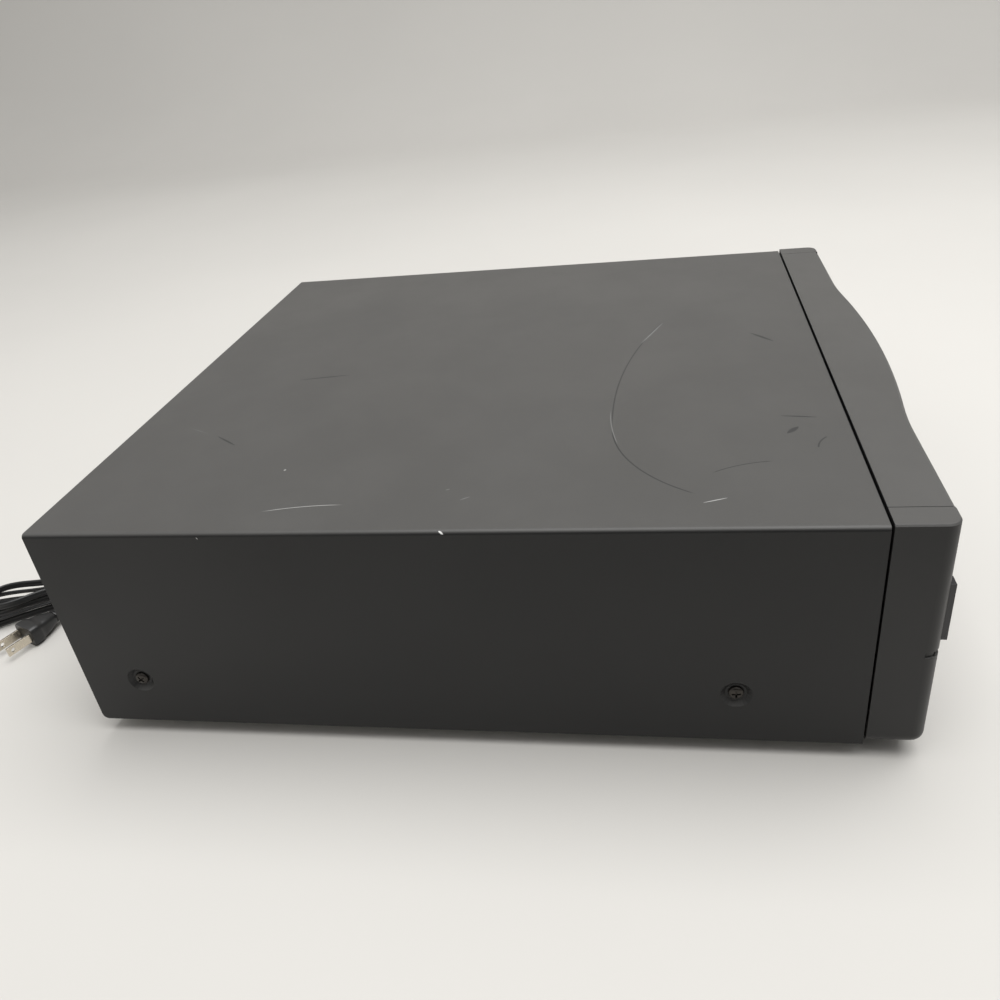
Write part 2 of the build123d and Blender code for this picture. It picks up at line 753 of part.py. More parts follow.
def mech_frame():
    front = seam + frame_front
    back = seam + frame_rear
    outline = [(-frame_half, front), (frame_half, front), (frame_half, back), (-frame_half, back)]
    frame = plate_of(outline, frame_floor, floor_top)
    window = span(-110, 110, seam + 84, seam + 200, frame_floor - 1, floor_top + 1)
    frame = frame - chamfer(window.edges().filter_by(Axis.Z), 12)
    for side in (-1, 1):
        wing = span(side * 134, side * 188, seam + 120, seam + 340, frame_floor - 1, floor_top + 1)
        frame = frame - chamfer(wing.edges().filter_by(Axis.Z), 10)
        inside = frame_half - 3
        wall = [(front, frame_floor), (back, frame_floor), (back, frame_top - 30), (play_centre + 34, frame_top)]
        wall += [(play_centre - 34, frame_top), (seam + 150, 100), (front, 100)]
        face = make_face(Polyline(*[(side * inside, y, z) for y, z in wall], close=True))
        frame = frame + extrude(face, 3, dir=(side, 0, 0))
        for low, high in ((rib_low - clear - 2.4, rib_low - clear), (rib_high + clear, rib_high + clear + 2.4)):
            frame = frame + span(side * (tray_half + 2), side * frame_half, front, seam + 110, low, high)
        for y in (seam + 30, seam + 200, seam + 362):
            x = side * (frame_half - 7)
            for along, across in ((5.5, 1.2), (1.2, 5.5)):
                frame = frame + span(x - along, x + along, y - across, y + across, underside + sheet, frame_floor + 1)
    frame = frame + pillar(loading_x, loading_y, floor_top - 1, rail_low + 7.9, 2.5, 12)
    frame = frame + pillar(*pulley_place, floor_top - 1, loading_top + 0.6, 2.0, 12)
    frame = frame - pillar(*loading_motor_place, frame_floor - 1, floor_top + 1, 3.2)
    for x, y in lift_posts():
        frame = frame + pillar(x, y, floor_top - 1, carousel_low - 1, 3.0, 12)
    for y0 in (cam_front - clear - 2, cam_front + cam_sheet + clear):
        for x in (-46, 34):
            frame = frame + span(x, x + 12, y0, y0 + 2, floor_top - 1, floor_top + 7)
    frame = frame + pillar(*cam_place, floor_top - 1, cam_gear_top + 0.5, 3.0, 12)
    return frame


# ---------------------------------------------------------------- lift, spindle, pickup and clamp
cam_sheet = 2.0
cam_front = play_centre + lift_front - 3.6
cam_gear_low = floor_top + 1.0
cam_gear_top = cam_gear_low + 5.0
cam_rack_y = cam_front - 6.0
cam_place = (0.0, cam_rack_y - cam_teeth * cam_module / 2)
pin_x = 30.0
pin_z = 79.0
pin_radius = 1.6


def lift_posts():
    return [(-50, play_centre - 12), (50, play_centre - 12), (50, play_centre + 66)]


def lift_chassis():
    y0 = play_centre + lift_front
    y1 = play_centre + lift_rear
    body = span(-lift_half, lift_half, y0, y1, lift_skirt_low, lift_skirt_top)
    body = chamfer(body.edges().filter_by(Axis.Z), 4)
    x = lift_half - 2.5
    upper = lift_plate_low + lift_plate
    for low, high in ((upper, lift_skirt_top + 1), (lift_skirt_low - 1, lift_plate_low)):
        hollow = span(-x, x, y0 + 2.5, y1 - 2.5, low, high)
        body = body - chamfer(hollow.edges().filter_by(Axis.Z), 3)
    slot = span(-slot_half + 1, slot_half - 1, play_centre + 14.8, y1 - 3.6, lift_plate_low - 1, upper + 1)
    body = body - slot - pillar(0, play_centre, lift_plate_low - 1, upper + 1, 8.8)
    for px, py in lift_posts():
        body = body + pillar(px, py, lift_skirt_low, lift_skirt_top, 6.3)
    for px, py in lift_posts():
        body = body - pillar(px, py, lift_skirt_low - 1, lift_skirt_top + 1, 3.0 + running * 1.1, 12)
    for rx in (-rod_x, rod_x):
        for ry in (rod_start - 2.5, rod_end):
            body = body + span(rx - 3.5, rx + 3.5, ry, ry + 2.5, rod_z - 3, lift_plate_low + 1)
    for px in (-pin_x, pin_x):
        body = body + bar_y(px, pin_z, cam_front - 0.8, y0 + 1, pin_radius)
    body = body + pillar(*sled_place, sled_big_low - 0.4, lift_plate_low + 1, 1.95, 12)
    return body


rod_start = play_centre + 14.0
rod_end = play_centre + lift_rear - 5.5
sled_rack_x = -25.0
sled_place = (sled_rack_x - sled_teeth * sled_module / 2, play_centre + 39.0)
sled_gap = (sled_big_teeth + sled_motor_teeth) * sled_module / 2
sled_motor_angle = 135.0
sled_motor_place = (
    sled_place[0] + sled_gap * cos(radians(sled_motor_angle)),
    sled_place[1] + sled_gap * sin(radians(sled_motor_angle)),
)
sled_big_low = 69.5
sled_big_top = 74.0
lens_y = play_centre + lens_start


def spindle_motor():
    upper = lift_plate_low + lift_plate
    can = pillar(0, 0, upper, 88.5, 12, 24) + pillar(0, 0, lift_skirt_low, upper + 1, 8)
    return Pos(0, play_centre, 0) * (can + pillar(0, 0, 88, 94, 1.5))


def spindle_hub():
    support = 95.5
    hub = pillar(0, 0, 92, support, hub_radius, 28) + pillar(0, 0, 89, 92.5, 6)
    hub = hub + Pos(0, 0, support) * extrude(RegularPolygon(7.4, 16), 2.6, taper=20)
    return Pos(0, play_centre, 0) * (hub - bore(0, 0, 88, 97, 1.55, 8))


def guide_rods():
    return Compound([bar_y(x, rod_z, rod_start, rod_end, rod_radius) for x in (-rod_x, rod_x)])


def optical_pickup():
    low = lift_skirt_low
    body = span(-21, 21, lens_y - 8, lens_y + 16, low, 84)
    body = chamfer(body.edges().group_by(Axis.Z)[-1], 1)
    tower = span(-17, 17, lens_y - 8, lens_y + 8, 83, 90.5)
    tower = chamfer(tower.edges().filter_by(Axis.Z), 3)
    body = body + tower + pillar(0, lens_y, 90, 92.5, 6)
    start = sled_place[1] - 3 - sled_travel
    rack = rack_bar(sled_travel + 7, sled_module, 4, sled_place[1] - start)
    body = body + Pos(sled_rack_x, start, low + 0.5) * Rot(0, 0, 90) * extrude(rack, 3.5)
    body = body - bore_y(rod_x, rod_z, lens_y - 30, lens_y + 40, rod_radius + running)
    slot = span(-rod_x - rod_radius - running, -rod_x + rod_radius + running, lens_y - 30, lens_y + 40, low - 1, 79.6)
    arm = span(-21, -14, lens_y - 30, lens_y - 8, low - 1, low + 5)
    return body - slot - (arm & span(-20.8, -14, lens_y - 30, lens_y - 8, low - 1, low + 5))


def objective_lens():
    return pillar(0, lens_y, 92.5, 93.6, 3.6, 20)


def sled_gear():
    small = gear(sled_teeth, sled_module, sled_big_top - 0.5, 79.2, 0)
    big = gear(sled_big_teeth, sled_module, sled_big_low, sled_big_top, sled_motor_angle)
    wheel = small + big - bore(0, 0, sled_big_low - 1, 80, 1.95 + running)
    return Pos(*sled_place, 0) * wheel


def sled_motor_pinion():
    toward = sled_motor_angle + 180 + 180 / sled_motor_teeth
    wheel = gear(sled_motor_teeth, sled_module, sled_big_low, sled_big_top, toward)
    return Pos(*sled_motor_place, 0) * (wheel - bore(0, 0, sled_big_low - 1, sled_big_top + 1, 1.0 + running, 8))


def sled_motor():
    x, y = sled_motor_place
    can = pillar(x, y, lift_skirt_low + 0.2, lift_plate_low, 9, 20)
    return can + pillar(x, y, sled_big_low - 0.3, lift_skirt_low + 1, 1)


def cam_slider():
    high = pin_z + lift_travel + 4
    low = floor_top + clear
    outline = [(-pin_x - cam_run - 6, low), (pin_x + 6, low), (pin_x + 6, pin_z + 6), (pin_x - cam_run + 6, high)]
    outline += [(pin_x - cam_run - 6, high), (-pin_x + 2, pin_z + 4), (-pin_x - cam_run + 6, high), (-pin_x - cam_run - 6, high)]
    face = make_face(Polyline(*[(x, cam_front, z) for x, z in outline], close=True))
    slider = extrude(face, cam_sheet, dir=(0, 1, 0))
    length = hypot(cam_run, lift_travel)
    angle = degrees(atan2(lift_travel, cam_run))
    gap = pin_radius + clear
    for x in (-pin_x, pin_x):
        middle = Pos(x - cam_run / 2, cam_front + cam_sheet / 2, pin_z + lift_travel / 2) * Rot(0, angle, 0)
        slot = Box(length, 8, 2 * gap)
        for end in (-length / 2, length / 2):
            slot = slot + bar_y(end, 0, -4, 4, gap / cos(pi / 12))
        slider = slider - middle * slot
    start = -cam_run - 8
    rack = rack_bar(cam_run + 16, cam_module, 6.2, -start)
    flange = Pos(start, cam_rack_y, cam_gear_low + 0.3) * mirror(extrude(rack, 4.4), Plane.XZ)
    return slider + flange


def cam_gear():
    wheel = gear(cam_teeth, cam_module, cam_gear_low, cam_gear_top, 90)
    wheel = wheel - bore(0, 0, cam_gear_low - 1, cam_gear_top + 1, 3.0 + running)
    return Pos(*cam_place, 0) * wheel


def clamp_bridge():
    y0 = play_centre - bridge_half_depth
    y1 = play_centre + bridge_half_depth
    web = span(-frame_half, frame_half, y0, y1, bridge_top - bridge_sheet, bridge_top)
    for y in (y0, y1 - bridge_sheet):
        web = web + span(-frame_half + 8, frame_half - 8, y, y + bridge_sheet, bridge_top - 9, bridge_top)
    web = web - pillar(0, play_centre, bridge_top - 5, bridge_top + 5, 10.5, 24)
    for x in (-125, -70, 70, 125):
        web = web - pillar(x, play_centre, bridge_top - 5, bridge_top + 5, 13, 6)
    return web


def clamper():
    low = 109.0
    puck = pillar(0, 0, low, low + 4, 15, 24) - pillar(0, 0, low - 1, low + 3.2, 8.4, 16)
    puck = puck + pillar(0, 0, low + 3.5, bridge_top + clear, 9, 24)
    return Pos(0, play_centre, 0) * (puck + pillar(0, 0, bridge_top + clear, bridge_top + 2, 13, 24))


# ---------------------------------------------------------------- electronics
def main_board():
    low = underside + 8
    board = span(-186, -32, seam + 250, seam + 408, low, low + board_thick)
    top = low + board_thick
    for x, y in ((-170, 300), (-152, 300), (-134, 300)):
        board = board + pillar(x, seam + y, top - 0.2, top + 18, 6)
    for x0, x1, y0, y1, high in ((-120, -92, 320, 348, 3), (-76, -58, 290, 326, 3), (-120, -100, 270, 282, 3)):
        board = board + span(x0, x1, seam + y0, seam + y1, top - 0.2, top + high)
    board = board + span(-180, -172, seam + 330, seam + 385, top - 0.2, top + 24)
    for y in range(334, 384, 6):
        board = board + span(-172, -164, seam + y, seam + y + 1.6, top - 0.2, top + 24)
    return board


def power_transformer():
    x = 118.0
    y = seam + 372
    low = underside + sheet
    plate = span(x - 42, x + 42, y - 12, y + 12, low, low + 1.5)
    core = span(x - 30, x + 30, y - 18, y + 18, low, low + 42)
    coil = span(x - 20, x + 20, y - 26, y + 26, low + 7, low + 35)
    coil = chamfer(coil.edges().filter_by(Axis.Z), 5)
    return plate + core + coil


def cord_bushing():
    face = rear - sheet - 0.1
    tip = rear + bushing_reach
    neck = Pos(bushing_x, face + 2, bushing_z) * Rot(-90, 0, 0)
    neck = neck * extrude(RegularPolygon(7.0, 8), tip - face - 2, taper=8)
    plug = bar_y(bushing_x, bushing_z, face - 7, face + 2.5, 6.3, 16)
    return bar_y(bushing_x, bushing_z, face, face + 2.5, 9, 16) + plug + neck


# ---------------------------------------------------------------- lead
def on_floor(x, y, z):
    # a cord point: x and z as they lie, y counted from the seam
    return Vector(x, seam + y, z)


def hank_point(u, v, z):
    # u runs along the hank, away from the unit; v runs across it, to the left side
    a = radians(hank_turn)
    return on_floor(hank_x - u * sin(a) - v * cos(a), hank_y + u * cos(a) - v * sin(a), z)


def layer_z(layer):
    return cord_width / 2 + hank_lift + layer * hank_pitch


def hank_side(u):
    # how far the left strands of the lowest loop lie from the hank's middle line
    length = hank_rear if u > 0 else hank_front
    return hank_waist + (hank_round - hank_waist) * abs(u) / length


def hank_route():
    # out on the left side, round the far end, back on the right side, round the near end; each
    # loop climbs one layer between the near end and the waist on the left side
    points = [hank_point(hank_start, hank_side(hank_start), layer_z(0))]
    for layer in range(hank_layers):
        last = layer == hank_layers - 1
        far = hank_rear - layer * hank_rear_step
        near = -hank_front - (12 if last else 0)
        z = layer_z(layer)
        points += [hank_point(far, hank_round, z), hank_point(far, -hank_round, z)]
        points += [hank_point(0, -hank_waist, z)]
        points += [hank_point(near, -hank_round, z), hank_point(near, hank_round, z)]
        if not last:
            points += [hank_point(0, hank_waist, layer_z(layer + 1))]
    points.append(hank_point(*hank_end, layer_z(hank_layers - 1)))
    return points


hank_start = 20.0
hank_end = (-33.0, 17.4)


def corner_radii(points, share):
    radii = []
    for before, here, after in zip(points, points[1:], points[2:]):
        inward = here - before
        outward = after - here
        turn = radians(inward.get_angle(outward))
        radii.append(share * min(inward.length, outward.length) / tan(turn / 2))
    return radii


def cord_tube(name, points, share):
    radii = corner_radii(points, share)
    path = FilletPolyline(*points, radius=radii)
    ahead = path % 0
    start = Plane(origin=path @ 0, x_dir=Vector(0, 0, 1).cross(ahead), z_dir=ahead)
    section = start * Rectangle(cord_width, cord_thick)
    solid = sweep(section, path=path)
    print(name, "radii", [round(r, 1) for r in radii])
    print(name, "length", round(path.length, 1), "volume", round(solid.volume), "expected", round(section.area * path.length))
    return solid, path


def least_gap(path, step):
    # the least distance between points of the path that are not neighbours, less the cord's width
    count = int(path.length / step)
    points = [path @ (i / count) for i in range(count + 1)]
    skip = int(4 * cord_width / step)
    gaps = [(points[i] - points[j]).length for i in range(count + 1) for j in range(i + skip, count + 1)]
    return min(gaps) - cord_width


def lead_route():
    # out of the bushing, down to the floor and under the left side of the hank's waist
    y = cover_depth + bushing_reach
    return [
        on_floor(bushing_x, y, bushing_z),
        on_floor(bushing_x, y + 12, bushing_z - 1),
        on_floor(bushing_x - 1, y + 25, bushing_z - 10),
        on_floor(bushing_x, y + 37, 8.5),
        on_floor(bushing_x + 0.5, y + 50, layer_z(0)),
        hank_point(-14, 12.9, layer_z(0)),
        hank_point(3, hank_side(3), layer_z(0)),
        hank_point(hank_start, hank_side(hank_start), layer_z(0)),
    ]


def plug_route():
    # from the hank's top layer, outside its left side, down into the plug's neck
    frame = plug_frame()
    top = layer_z(hank_layers - 1)
    return [
        hank_point(*hank_end, top),
        hank_point(-25, 16.6, top - 0.3),
        frame.origin - frame.z_dir * (plug_length + plug_neck + 18) + Vector(0, 0, 3),
        frame.origin - frame.z_dir * (plug_length + plug_neck),
    ]


def hank_tie():
    # a band round the hank's waist
    high = layer_z(hank_layers - 1) + cord_width / 2 + tie_thick + 0.3
    a = radians(hank_turn)
    place = Plane(hank_point(0, 0, high / 2), x_dir=(0, 0, 1), z_dir=(-sin(a), cos(a), 0))
    outer = chamfer(Rectangle(high, 2 * tie_half).vertices(), 1.5)
    inner = chamfer(Rectangle(high - 2 * tie_thick, 2 * (tie_half - tie_thick)).vertices(), 1)
    return place * Pos(0, 0, -tie_width / 2) * extrude(outer - inner, tie_width)


def plug_frame():
    # the plug lies flat on the floor; its blades point away to the left and rear
    heading = Vector(-0.92, 0.38, 0).normalized()
    face = on_floor(-138, 533.5, plug_height / 2)
    return Plane(origin=face, x_dir=Vector(0, 0, 1), z_dir=heading)


def plug_body():
    grip = chamfer(Rectangle(plug_height, plug_width).vertices(), 3.5)
    middle = chamfer(Rectangle(plug_height - 1.4, plug_width - 1.4).vertices(), 3.3)
    back = Rot(180, 0, 0)
    body = back * extrude(grip, plug_grip, taper=degrees(atan2(0.7, plug_grip)))
    body = body + Pos(0, 0, -plug_grip) * back * extrude(middle, plug_length - plug_grip, taper=12)
    neck = Pos(0, 0, -plug_length + 0.5) * back * extrude(RegularPolygon(4.0, 8), plug_neck + 0.5, taper=6)
    return plug_frame() * (body + neck)


def plug_blades():
    blade = Pos(0, 0, blade_length / 2) * Box(6.3, 1.5, blade_length)
    blade = blade - bar_y(0, blade_length - 4, -2, 2, 1.6, 8)
    return plug_frame() * Compound([Pos(0, side * 6.35, 0) * blade for side in (-1, 1)])


pieces = {
    "top_cover": top_cover,
    "bottom_chassis": bottom_chassis,
    "feet": feet,
    "rear_panel": rear_panel,
    "output_jacks": output_jacks,
    "cover_screws": cover_screws,
    "front_panel": front_panel,
    "display_window": display_window,
    "display_module": display_module,
    "control_board": control_board,
    "phones_jack": phones_jack,
    "level_knob": level_knob,
    "drawer_front": drawer_front,
    "drawer_tray": drawer_tray,
    "carousel": carousel,
    "carousel_cap": carousel_cap,
    "carousel_drive_gear": carousel_drive_gear,
    "carousel_motor_pinion": carousel_motor_pinion,
    "carousel_motor": carousel_motor,
    "mech_frame": mech_frame,
    "loading_gear": loading_gear,
    "pulley_gear": pulley_gear,
    "motor_pulley": motor_pulley,
    "loading_belt": loading_belt,
    "loading_motor": loading_motor,
    "lift_chassis": lift_chassis,
    "spindle_motor": spindle_motor,
    "spindle_hub": spindle_hub,
    "guide_rods": guide_rods,
    "optical_pickup": optical_pickup,
    "objective_lens": objective_lens,
    "sled_gear": sled_gear,
    "sled_motor_pinion": sled_motor_pinion,
    "sled_motor": sled_motor,
    "cam_slider": cam_slider,
    "cam_gear": cam_gear,
    "clamp_bridge": clamp_bridge,
    "clamper": clamper,
    "main_board": main_board,
    "power_transformer": power_transformer,
    "cord_bushing": cord_bushing,
    "hank_tie": hank_tie,
    "plug_body": plug_body,
    "plug_blades": plug_blades,
}
for name, make in pieces.items():
    save(name, make())
for name, (x, z, width, height) in keys.items():
    save(name, button(x, z, width, height))
for name, x in side_keys.items():
    save(name, button(x, side_button_z, side_button_width, side_button_height, side_button_proud, 0))
cords = {"power_lead": (lead_route(), 0.45), "power_hank": (hank_route(), 0.495), "plug_lead": (plug_route(), 0.48)}
for name, (points, share) in cords.items():
    solid, path = cord_tube(name, points, share)
    save(name, solid)
    if name == "power_hank":
        print("least gap of the hank to itself", round(least_gap(path, 2.0), 2))
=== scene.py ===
import math

import bmesh
import bpy
from mathutils import Matrix, Vector


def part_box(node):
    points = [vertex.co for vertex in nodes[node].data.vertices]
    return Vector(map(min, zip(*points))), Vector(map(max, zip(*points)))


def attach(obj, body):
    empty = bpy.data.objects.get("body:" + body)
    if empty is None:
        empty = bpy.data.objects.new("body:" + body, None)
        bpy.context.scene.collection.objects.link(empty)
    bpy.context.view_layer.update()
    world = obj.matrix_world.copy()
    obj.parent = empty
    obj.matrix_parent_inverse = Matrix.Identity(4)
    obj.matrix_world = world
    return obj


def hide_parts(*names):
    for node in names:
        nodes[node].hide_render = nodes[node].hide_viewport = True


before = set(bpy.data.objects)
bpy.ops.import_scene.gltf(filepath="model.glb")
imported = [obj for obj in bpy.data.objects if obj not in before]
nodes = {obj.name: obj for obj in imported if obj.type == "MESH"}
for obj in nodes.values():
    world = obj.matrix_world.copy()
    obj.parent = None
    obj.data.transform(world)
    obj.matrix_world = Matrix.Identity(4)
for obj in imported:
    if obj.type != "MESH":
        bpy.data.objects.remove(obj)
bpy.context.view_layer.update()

# The row frame: floor at z = 0, the front faces -y, metres. Sizes below are in millimetres.
mm = 0.001
scene = bpy.context.scene
unit = {"seam": -198.2, "rear": 227.8, "halfWidth": 215.0, "top": 140.0, "under": 10.0}


# camera and stage
camera = {
    "place": (-553.018, -102.96, 359.763),
    "azimuth": -77.532,
    "elevation": 30.36,
    "roll": -7.282,
    "lens": 31.64,
    "sensor": 36.0,
}


def makeCamera(c):
    azimuth, elevation, roll = (math.radians(c[k]) for k in ("azimuth", "elevation", "roll"))
    level = math.cos(elevation)
    back = Vector((math.sin(azimuth) * level, -math.cos(azimuth) * level, math.sin(elevation)))
    right = Vector((math.cos(azimuth), math.sin(azimuth), 0))
    up = back.cross(right)
    turnedRight = right * math.cos(roll) + up * math.sin(roll)
    turnedUp = up * math.cos(roll) - right * math.sin(roll)
    data = bpy.data.cameras.new("photoCamera")
    data.lens = c["lens"]
    data.sensor_width = c["sensor"]
    data.clip_start = 0.01
    made = bpy.data.objects.new("photoCamera", data)
    turn = Matrix((turnedRight, turnedUp, back)).transposed().to_4x4()
    made.matrix_world = Matrix.Translation(Vector(c["place"]) * mm) @ turn
    scene.collection.objects.link(made)
    scene.camera = made


stage = {
    "floorColor": (0.62, 0.605, 0.575),
    "floorVary": 0.05,
    "wallAt": 2.8,
    "wallHeight": 3.2,
    "bend": 1.0,
    "reach": 6.0,
    "keyPlace": (-0.02, -0.45, 2.15),
    "keyPower": 60.0,
    "keySize": (2.2, 2.4),
    "roomColor": (1.0, 0.995, 0.985),
    "roomDark": 0.16,
    "roomBright": 0.66,
    "brightWay": (0.42, -0.06, 0.90),
    "darkCard": ((-1.05, -1.3), (-1.05, 0.15), 1.1),
}


def addMesh(name, verts, faces, smooth=True):
    mesh = bpy.data.meshes.new(name)
    mesh.from_pydata([tuple(v) for v in verts], [], faces)
    mesh.validate()
    for face in mesh.polygons:
        face.use_smooth = smooth
    made = bpy.data.objects.new(name, mesh)
    scene.collection.objects.link(made)
    return made


def areaLamp(name, place, target, size, power):
    data = bpy.data.lights.new(name, "AREA")
    data.shape = "RECTANGLE"
    data.size, data.size_y = size
    data.energy = power
    made = bpy.data.objects.new(name, data)
    made.location = place
    aim = Vector(target) - Vector(place)
    made.rotation_euler = aim.to_track_quat("-Z", "Y").to_euler()
    scene.collection.objects.link(made)


def makeStage(s):
    # one sweep of paper: flat under the object, curved up behind it
    profile = [(-s["reach"], 0.0), (s["wallAt"] - s["bend"], 0.0)]
    for step in range(1, 13):
        turn = math.radians(90 * step / 12)
        along = s["wallAt"] - s["bend"] + s["bend"] * math.sin(turn)
        profile.append((along, s["bend"] * (1 - math.cos(turn))))
    profile.append((s["wallAt"], s["wallHeight"]))
    verts = [(x, side * s["reach"], z) for x, z in profile for side in (-1, 1)]
    faces = [(2 * i, 2 * i + 2, 2 * i + 3, 2 * i + 1) for i in range(len(profile) - 1)]
    paper = addMesh("paperSweep", verts, faces)
    mat, net, shader = newMaterial("paperSweep", s["floorColor"], 0.85)
    noise = net.texture("ShaderNodeTexNoise", 1.6, Detail=5.0)
    pale, dim = ([share * c for c in s["floorColor"]] for share in (1 + s["floorVary"], 1 - s["floorVary"]))
    net.link(net.mix(noise.outputs["Fac"], dim, pale), shader.inputs["Base Color"])
    paper.data.materials.append(mat)
    # a dark card out of view, which the near end of the side reflects
    (x0, y0), (x1, y1), high = s["darkCard"]
    card = addMesh("darkCard", [(x0, y0, 0), (x1, y1, 0), (x1, y1, high), (x0, y0, high)], [(0, 1, 2, 3)])
    card.data.materials.append(newMaterial("darkCard", (0.01, 0.01, 0.01), 0.9)[0])
    areaLamp("overheadSoftbox", s["keyPlace"], (0, 0, 0), s["keySize"], s["keyPower"])
    world = bpy.data.worlds.new("softRoom")
    scene.world = world
    world.use_nodes = True
    net = Net(world.node_tree)
    sky = net.nodes["Background"]
    way = net.add("ShaderNodeTexCoord").outputs["Generated"]
    toward = net.vector("DOT_PRODUCT", net.vector("NORMALIZE", way), s["brightWay"])
    level = net.spread(toward, s["roomDark"], s["roomBright"], -0.9, 0.8)
    room = net.vector("SCALE", s["roomColor"], scale=level)
    net.link(room, sky.inputs["Color"])
    scene.view_settings.view_transform = "Standard"
    print("stage: paper sweep, dark card, one lamp, room light")


# node helpers
class Net:
    # a small hand for laying out one node tree
    def __init__(self, tree):
        self.tree = tree
        self.nodes = tree.nodes

    def add(self, kind, **settings):
        node = self.nodes.new(kind)
        for key, value in settings.items():
            setattr(node, key, value)
        return node

    def link(self, source, target):
        self.tree.links.new(source, target)
        return target

    def put(self, socket, value):
        if isinstance(value, bpy.types.NodeSocket):
            self.link(value, socket)
        else:
            socket.default_value = value

    def math(self, operation, *values, clamp=False):
        node = self.add("ShaderNodeMath", operation=operation, use_clamp=clamp)
        for socket, value in zip(node.inputs, values):
            self.put(socket, value)
        return node.outputs[0]

    def vector(self, operation, *values, scale=None):
        node = self.add("ShaderNodeVectorMath", operation=operation)
        for socket, value in zip(node.inputs, values):
            self.put(socket, value)
        if scale is not None:
            self.put(node.inputs["Scale"], scale)
        return node.outputs["Value" if operation in ("LENGTH", "DOT_PRODUCT", "DISTANCE") else "Vector"]

    def mix(self, factor, low, high):
        node = self.add("ShaderNodeMix", data_type="RGBA")
        self.put(node.inputs["Factor"], factor)
        for socket, value in ((node.inputs["A"], low), (node.inputs["B"], high)):
            self.put(socket, value if isinstance(value, bpy.types.NodeSocket) else (*value, 1))
        return node.outputs["Result"]

    def spread(self, value, low, high, fromLow=0.0, fromHigh=1.0):
        node = self.add("ShaderNodeMapRange", interpolation_type="SMOOTHSTEP")
        labels = ("Value", "From Min", "From Max", "To Min", "To Max")
        for label, number in zip(labels, (value, fromLow, fromHigh, low, high)):
            self.put(node.inputs[label], number)
        return node.outputs["Result"]

    def place(self):
        return self.add("ShaderNodeTexCoord").outputs["Object"]

    def texture(self, kind, scale, stretch=None, **inputs):
        node = self.add(kind)
        place = self.place()
        if stretch:
            place = self.vector("MULTIPLY", place, stretch)
        self.link(place, node.inputs["Vector"])
        self.put(node.inputs["Scale"], scale)
        for key, value in inputs.items():
            self.put(node.inputs[key], value)
        return node

    def effect(self, group, **inputs):
        node = self.add("ShaderNodeGroup")
        node.node_tree = group
        for key, value in inputs.items():
            self.put(node.inputs[key], value)
        return node.outputs[0]


def newMaterial(name, color, roughness, metallic=0.0):
    mat = bpy.data.materials.new(name)
    mat.use_nodes = True
    net = Net(mat.node_tree)
    shader = net.nodes["Principled BSDF"]
    shader.inputs["Base Color"].default_value = (*color, 1)
    shader.inputs["Roughness"].default_value = roughness
    shader.inputs["Metallic"].default_value = metallic
    return mat, net, shader


def newGroup(name, inputs, output):
    tree = bpy.data.node_groups.new(name, "ShaderNodeTree")
    for label, default in inputs.items():
        kind = "NodeSocketVector" if isinstance(default, tuple) else "NodeSocketFloat"
        socket = tree.interface.new_socket(label, in_out="INPUT", socket_type=kind)
        socket.default_value = default
    tree.interface.new_socket(output, in_out="OUTPUT", socket_type="NodeSocketFloat")
    net = Net(tree)
    given = net.add("NodeGroupInput").outputs
    result = net.add("NodeGroupOutput").inputs[0]
    return tree, net, given, result


def grainGroup():
    # fine spatter of paint or moulded grain, as a height
    tree, net, given, result = newGroup("fineGrain", {"Scale": 900.0, "Softness": 0.5}, "Height")
    fine = net.texture("ShaderNodeTexNoise", given["Scale"], Detail=3.0)
    cells = net.texture("ShaderNodeTexVoronoi", given["Scale"])
    mixed = net.math("MULTIPLY", cells.outputs["Distance"], given["Softness"])
    net.link(net.math("SUBTRACT", fine.outputs["Fac"], mixed), result)
    return tree


def wearGroup():
    # rubbed edges: where the rounded normal leaves the true one, broken up by noise
    inputs = {"Rounded": (0.0, 0.0, 1.0), "Amount": 0.5, "Scale": 60.0}
    tree, net, given, result = newGroup("edgeWear", inputs, "Mask")
    true = net.add("ShaderNodeNewGeometry").outputs["Normal"]
    bent = net.math("SUBTRACT", 1.0, net.vector("DOT_PRODUCT", given["Rounded"], true))
    edge = net.spread(bent, 0.0, 1.0, 0.01, 0.12)
    noise = net.texture("ShaderNodeTexNoise", given["Scale"], Detail=6.0)
    broken = net.spread(noise.outputs["Fac"], 0.0, 1.0, 0.5, 0.68)
    net.link(net.math("MULTIPLY", net.math("MULTIPLY", edge, broken), given["Amount"]), result)
    return tree


def dustGroup():
    # dust that settles on what faces up, cloudy where Even is low; with Even near 1 it is an even painted lightening
    # of what faces up, a painted top light
    tree, net, given, result = newGroup("settledDustAndTopLight", {"Amount": 0.2, "Scale": 14.0, "Even": 0.15}, "Mask")
    normal = net.add("ShaderNodeSeparateXYZ")
    net.link(net.add("ShaderNodeNewGeometry").outputs["Normal"], normal.inputs[0])
    up = net.spread(normal.outputs["Z"], 0.0, 1.0, 0.3, 0.95)
    noise = net.texture("ShaderNodeTexNoise", given["Scale"], Detail=8.0, Roughness=0.65)
    cloudy = net.spread(noise.outputs["Fac"], 0.0, 1.0, 0.35, 0.7)
    cloudy = net.math("MULTIPLY", cloudy, net.math("SUBTRACT", 1.0, given["Even"]))
    cloudy = net.math("ADD", cloudy, given["Even"])
    net.link(net.math("MULTIPLY", net.math("MULTIPLY", up, cloudy), given["Amount"]), result)
    return tree


def specksGroup():
    # a few small bright flecks
    tree, net, given, result = newGroup("flecks", {"Scale": 70.0, "Size": 0.05, "Share": 0.08}, "Mask")
    cells = net.texture("ShaderNodeTexVoronoi", given["Scale"])
    near = net.math("LESS_THAN", cells.outputs["Distance"], given["Size"])
    pick = net.add("ShaderNodeSeparateColor")
    net.link(cells.outputs["Color"], pick.inputs[0])
    chosen = net.math("LESS_THAN", pick.outputs[0], given["Share"])
    net.link(net.math("MULTIPLY", near, chosen), result)
    return tree


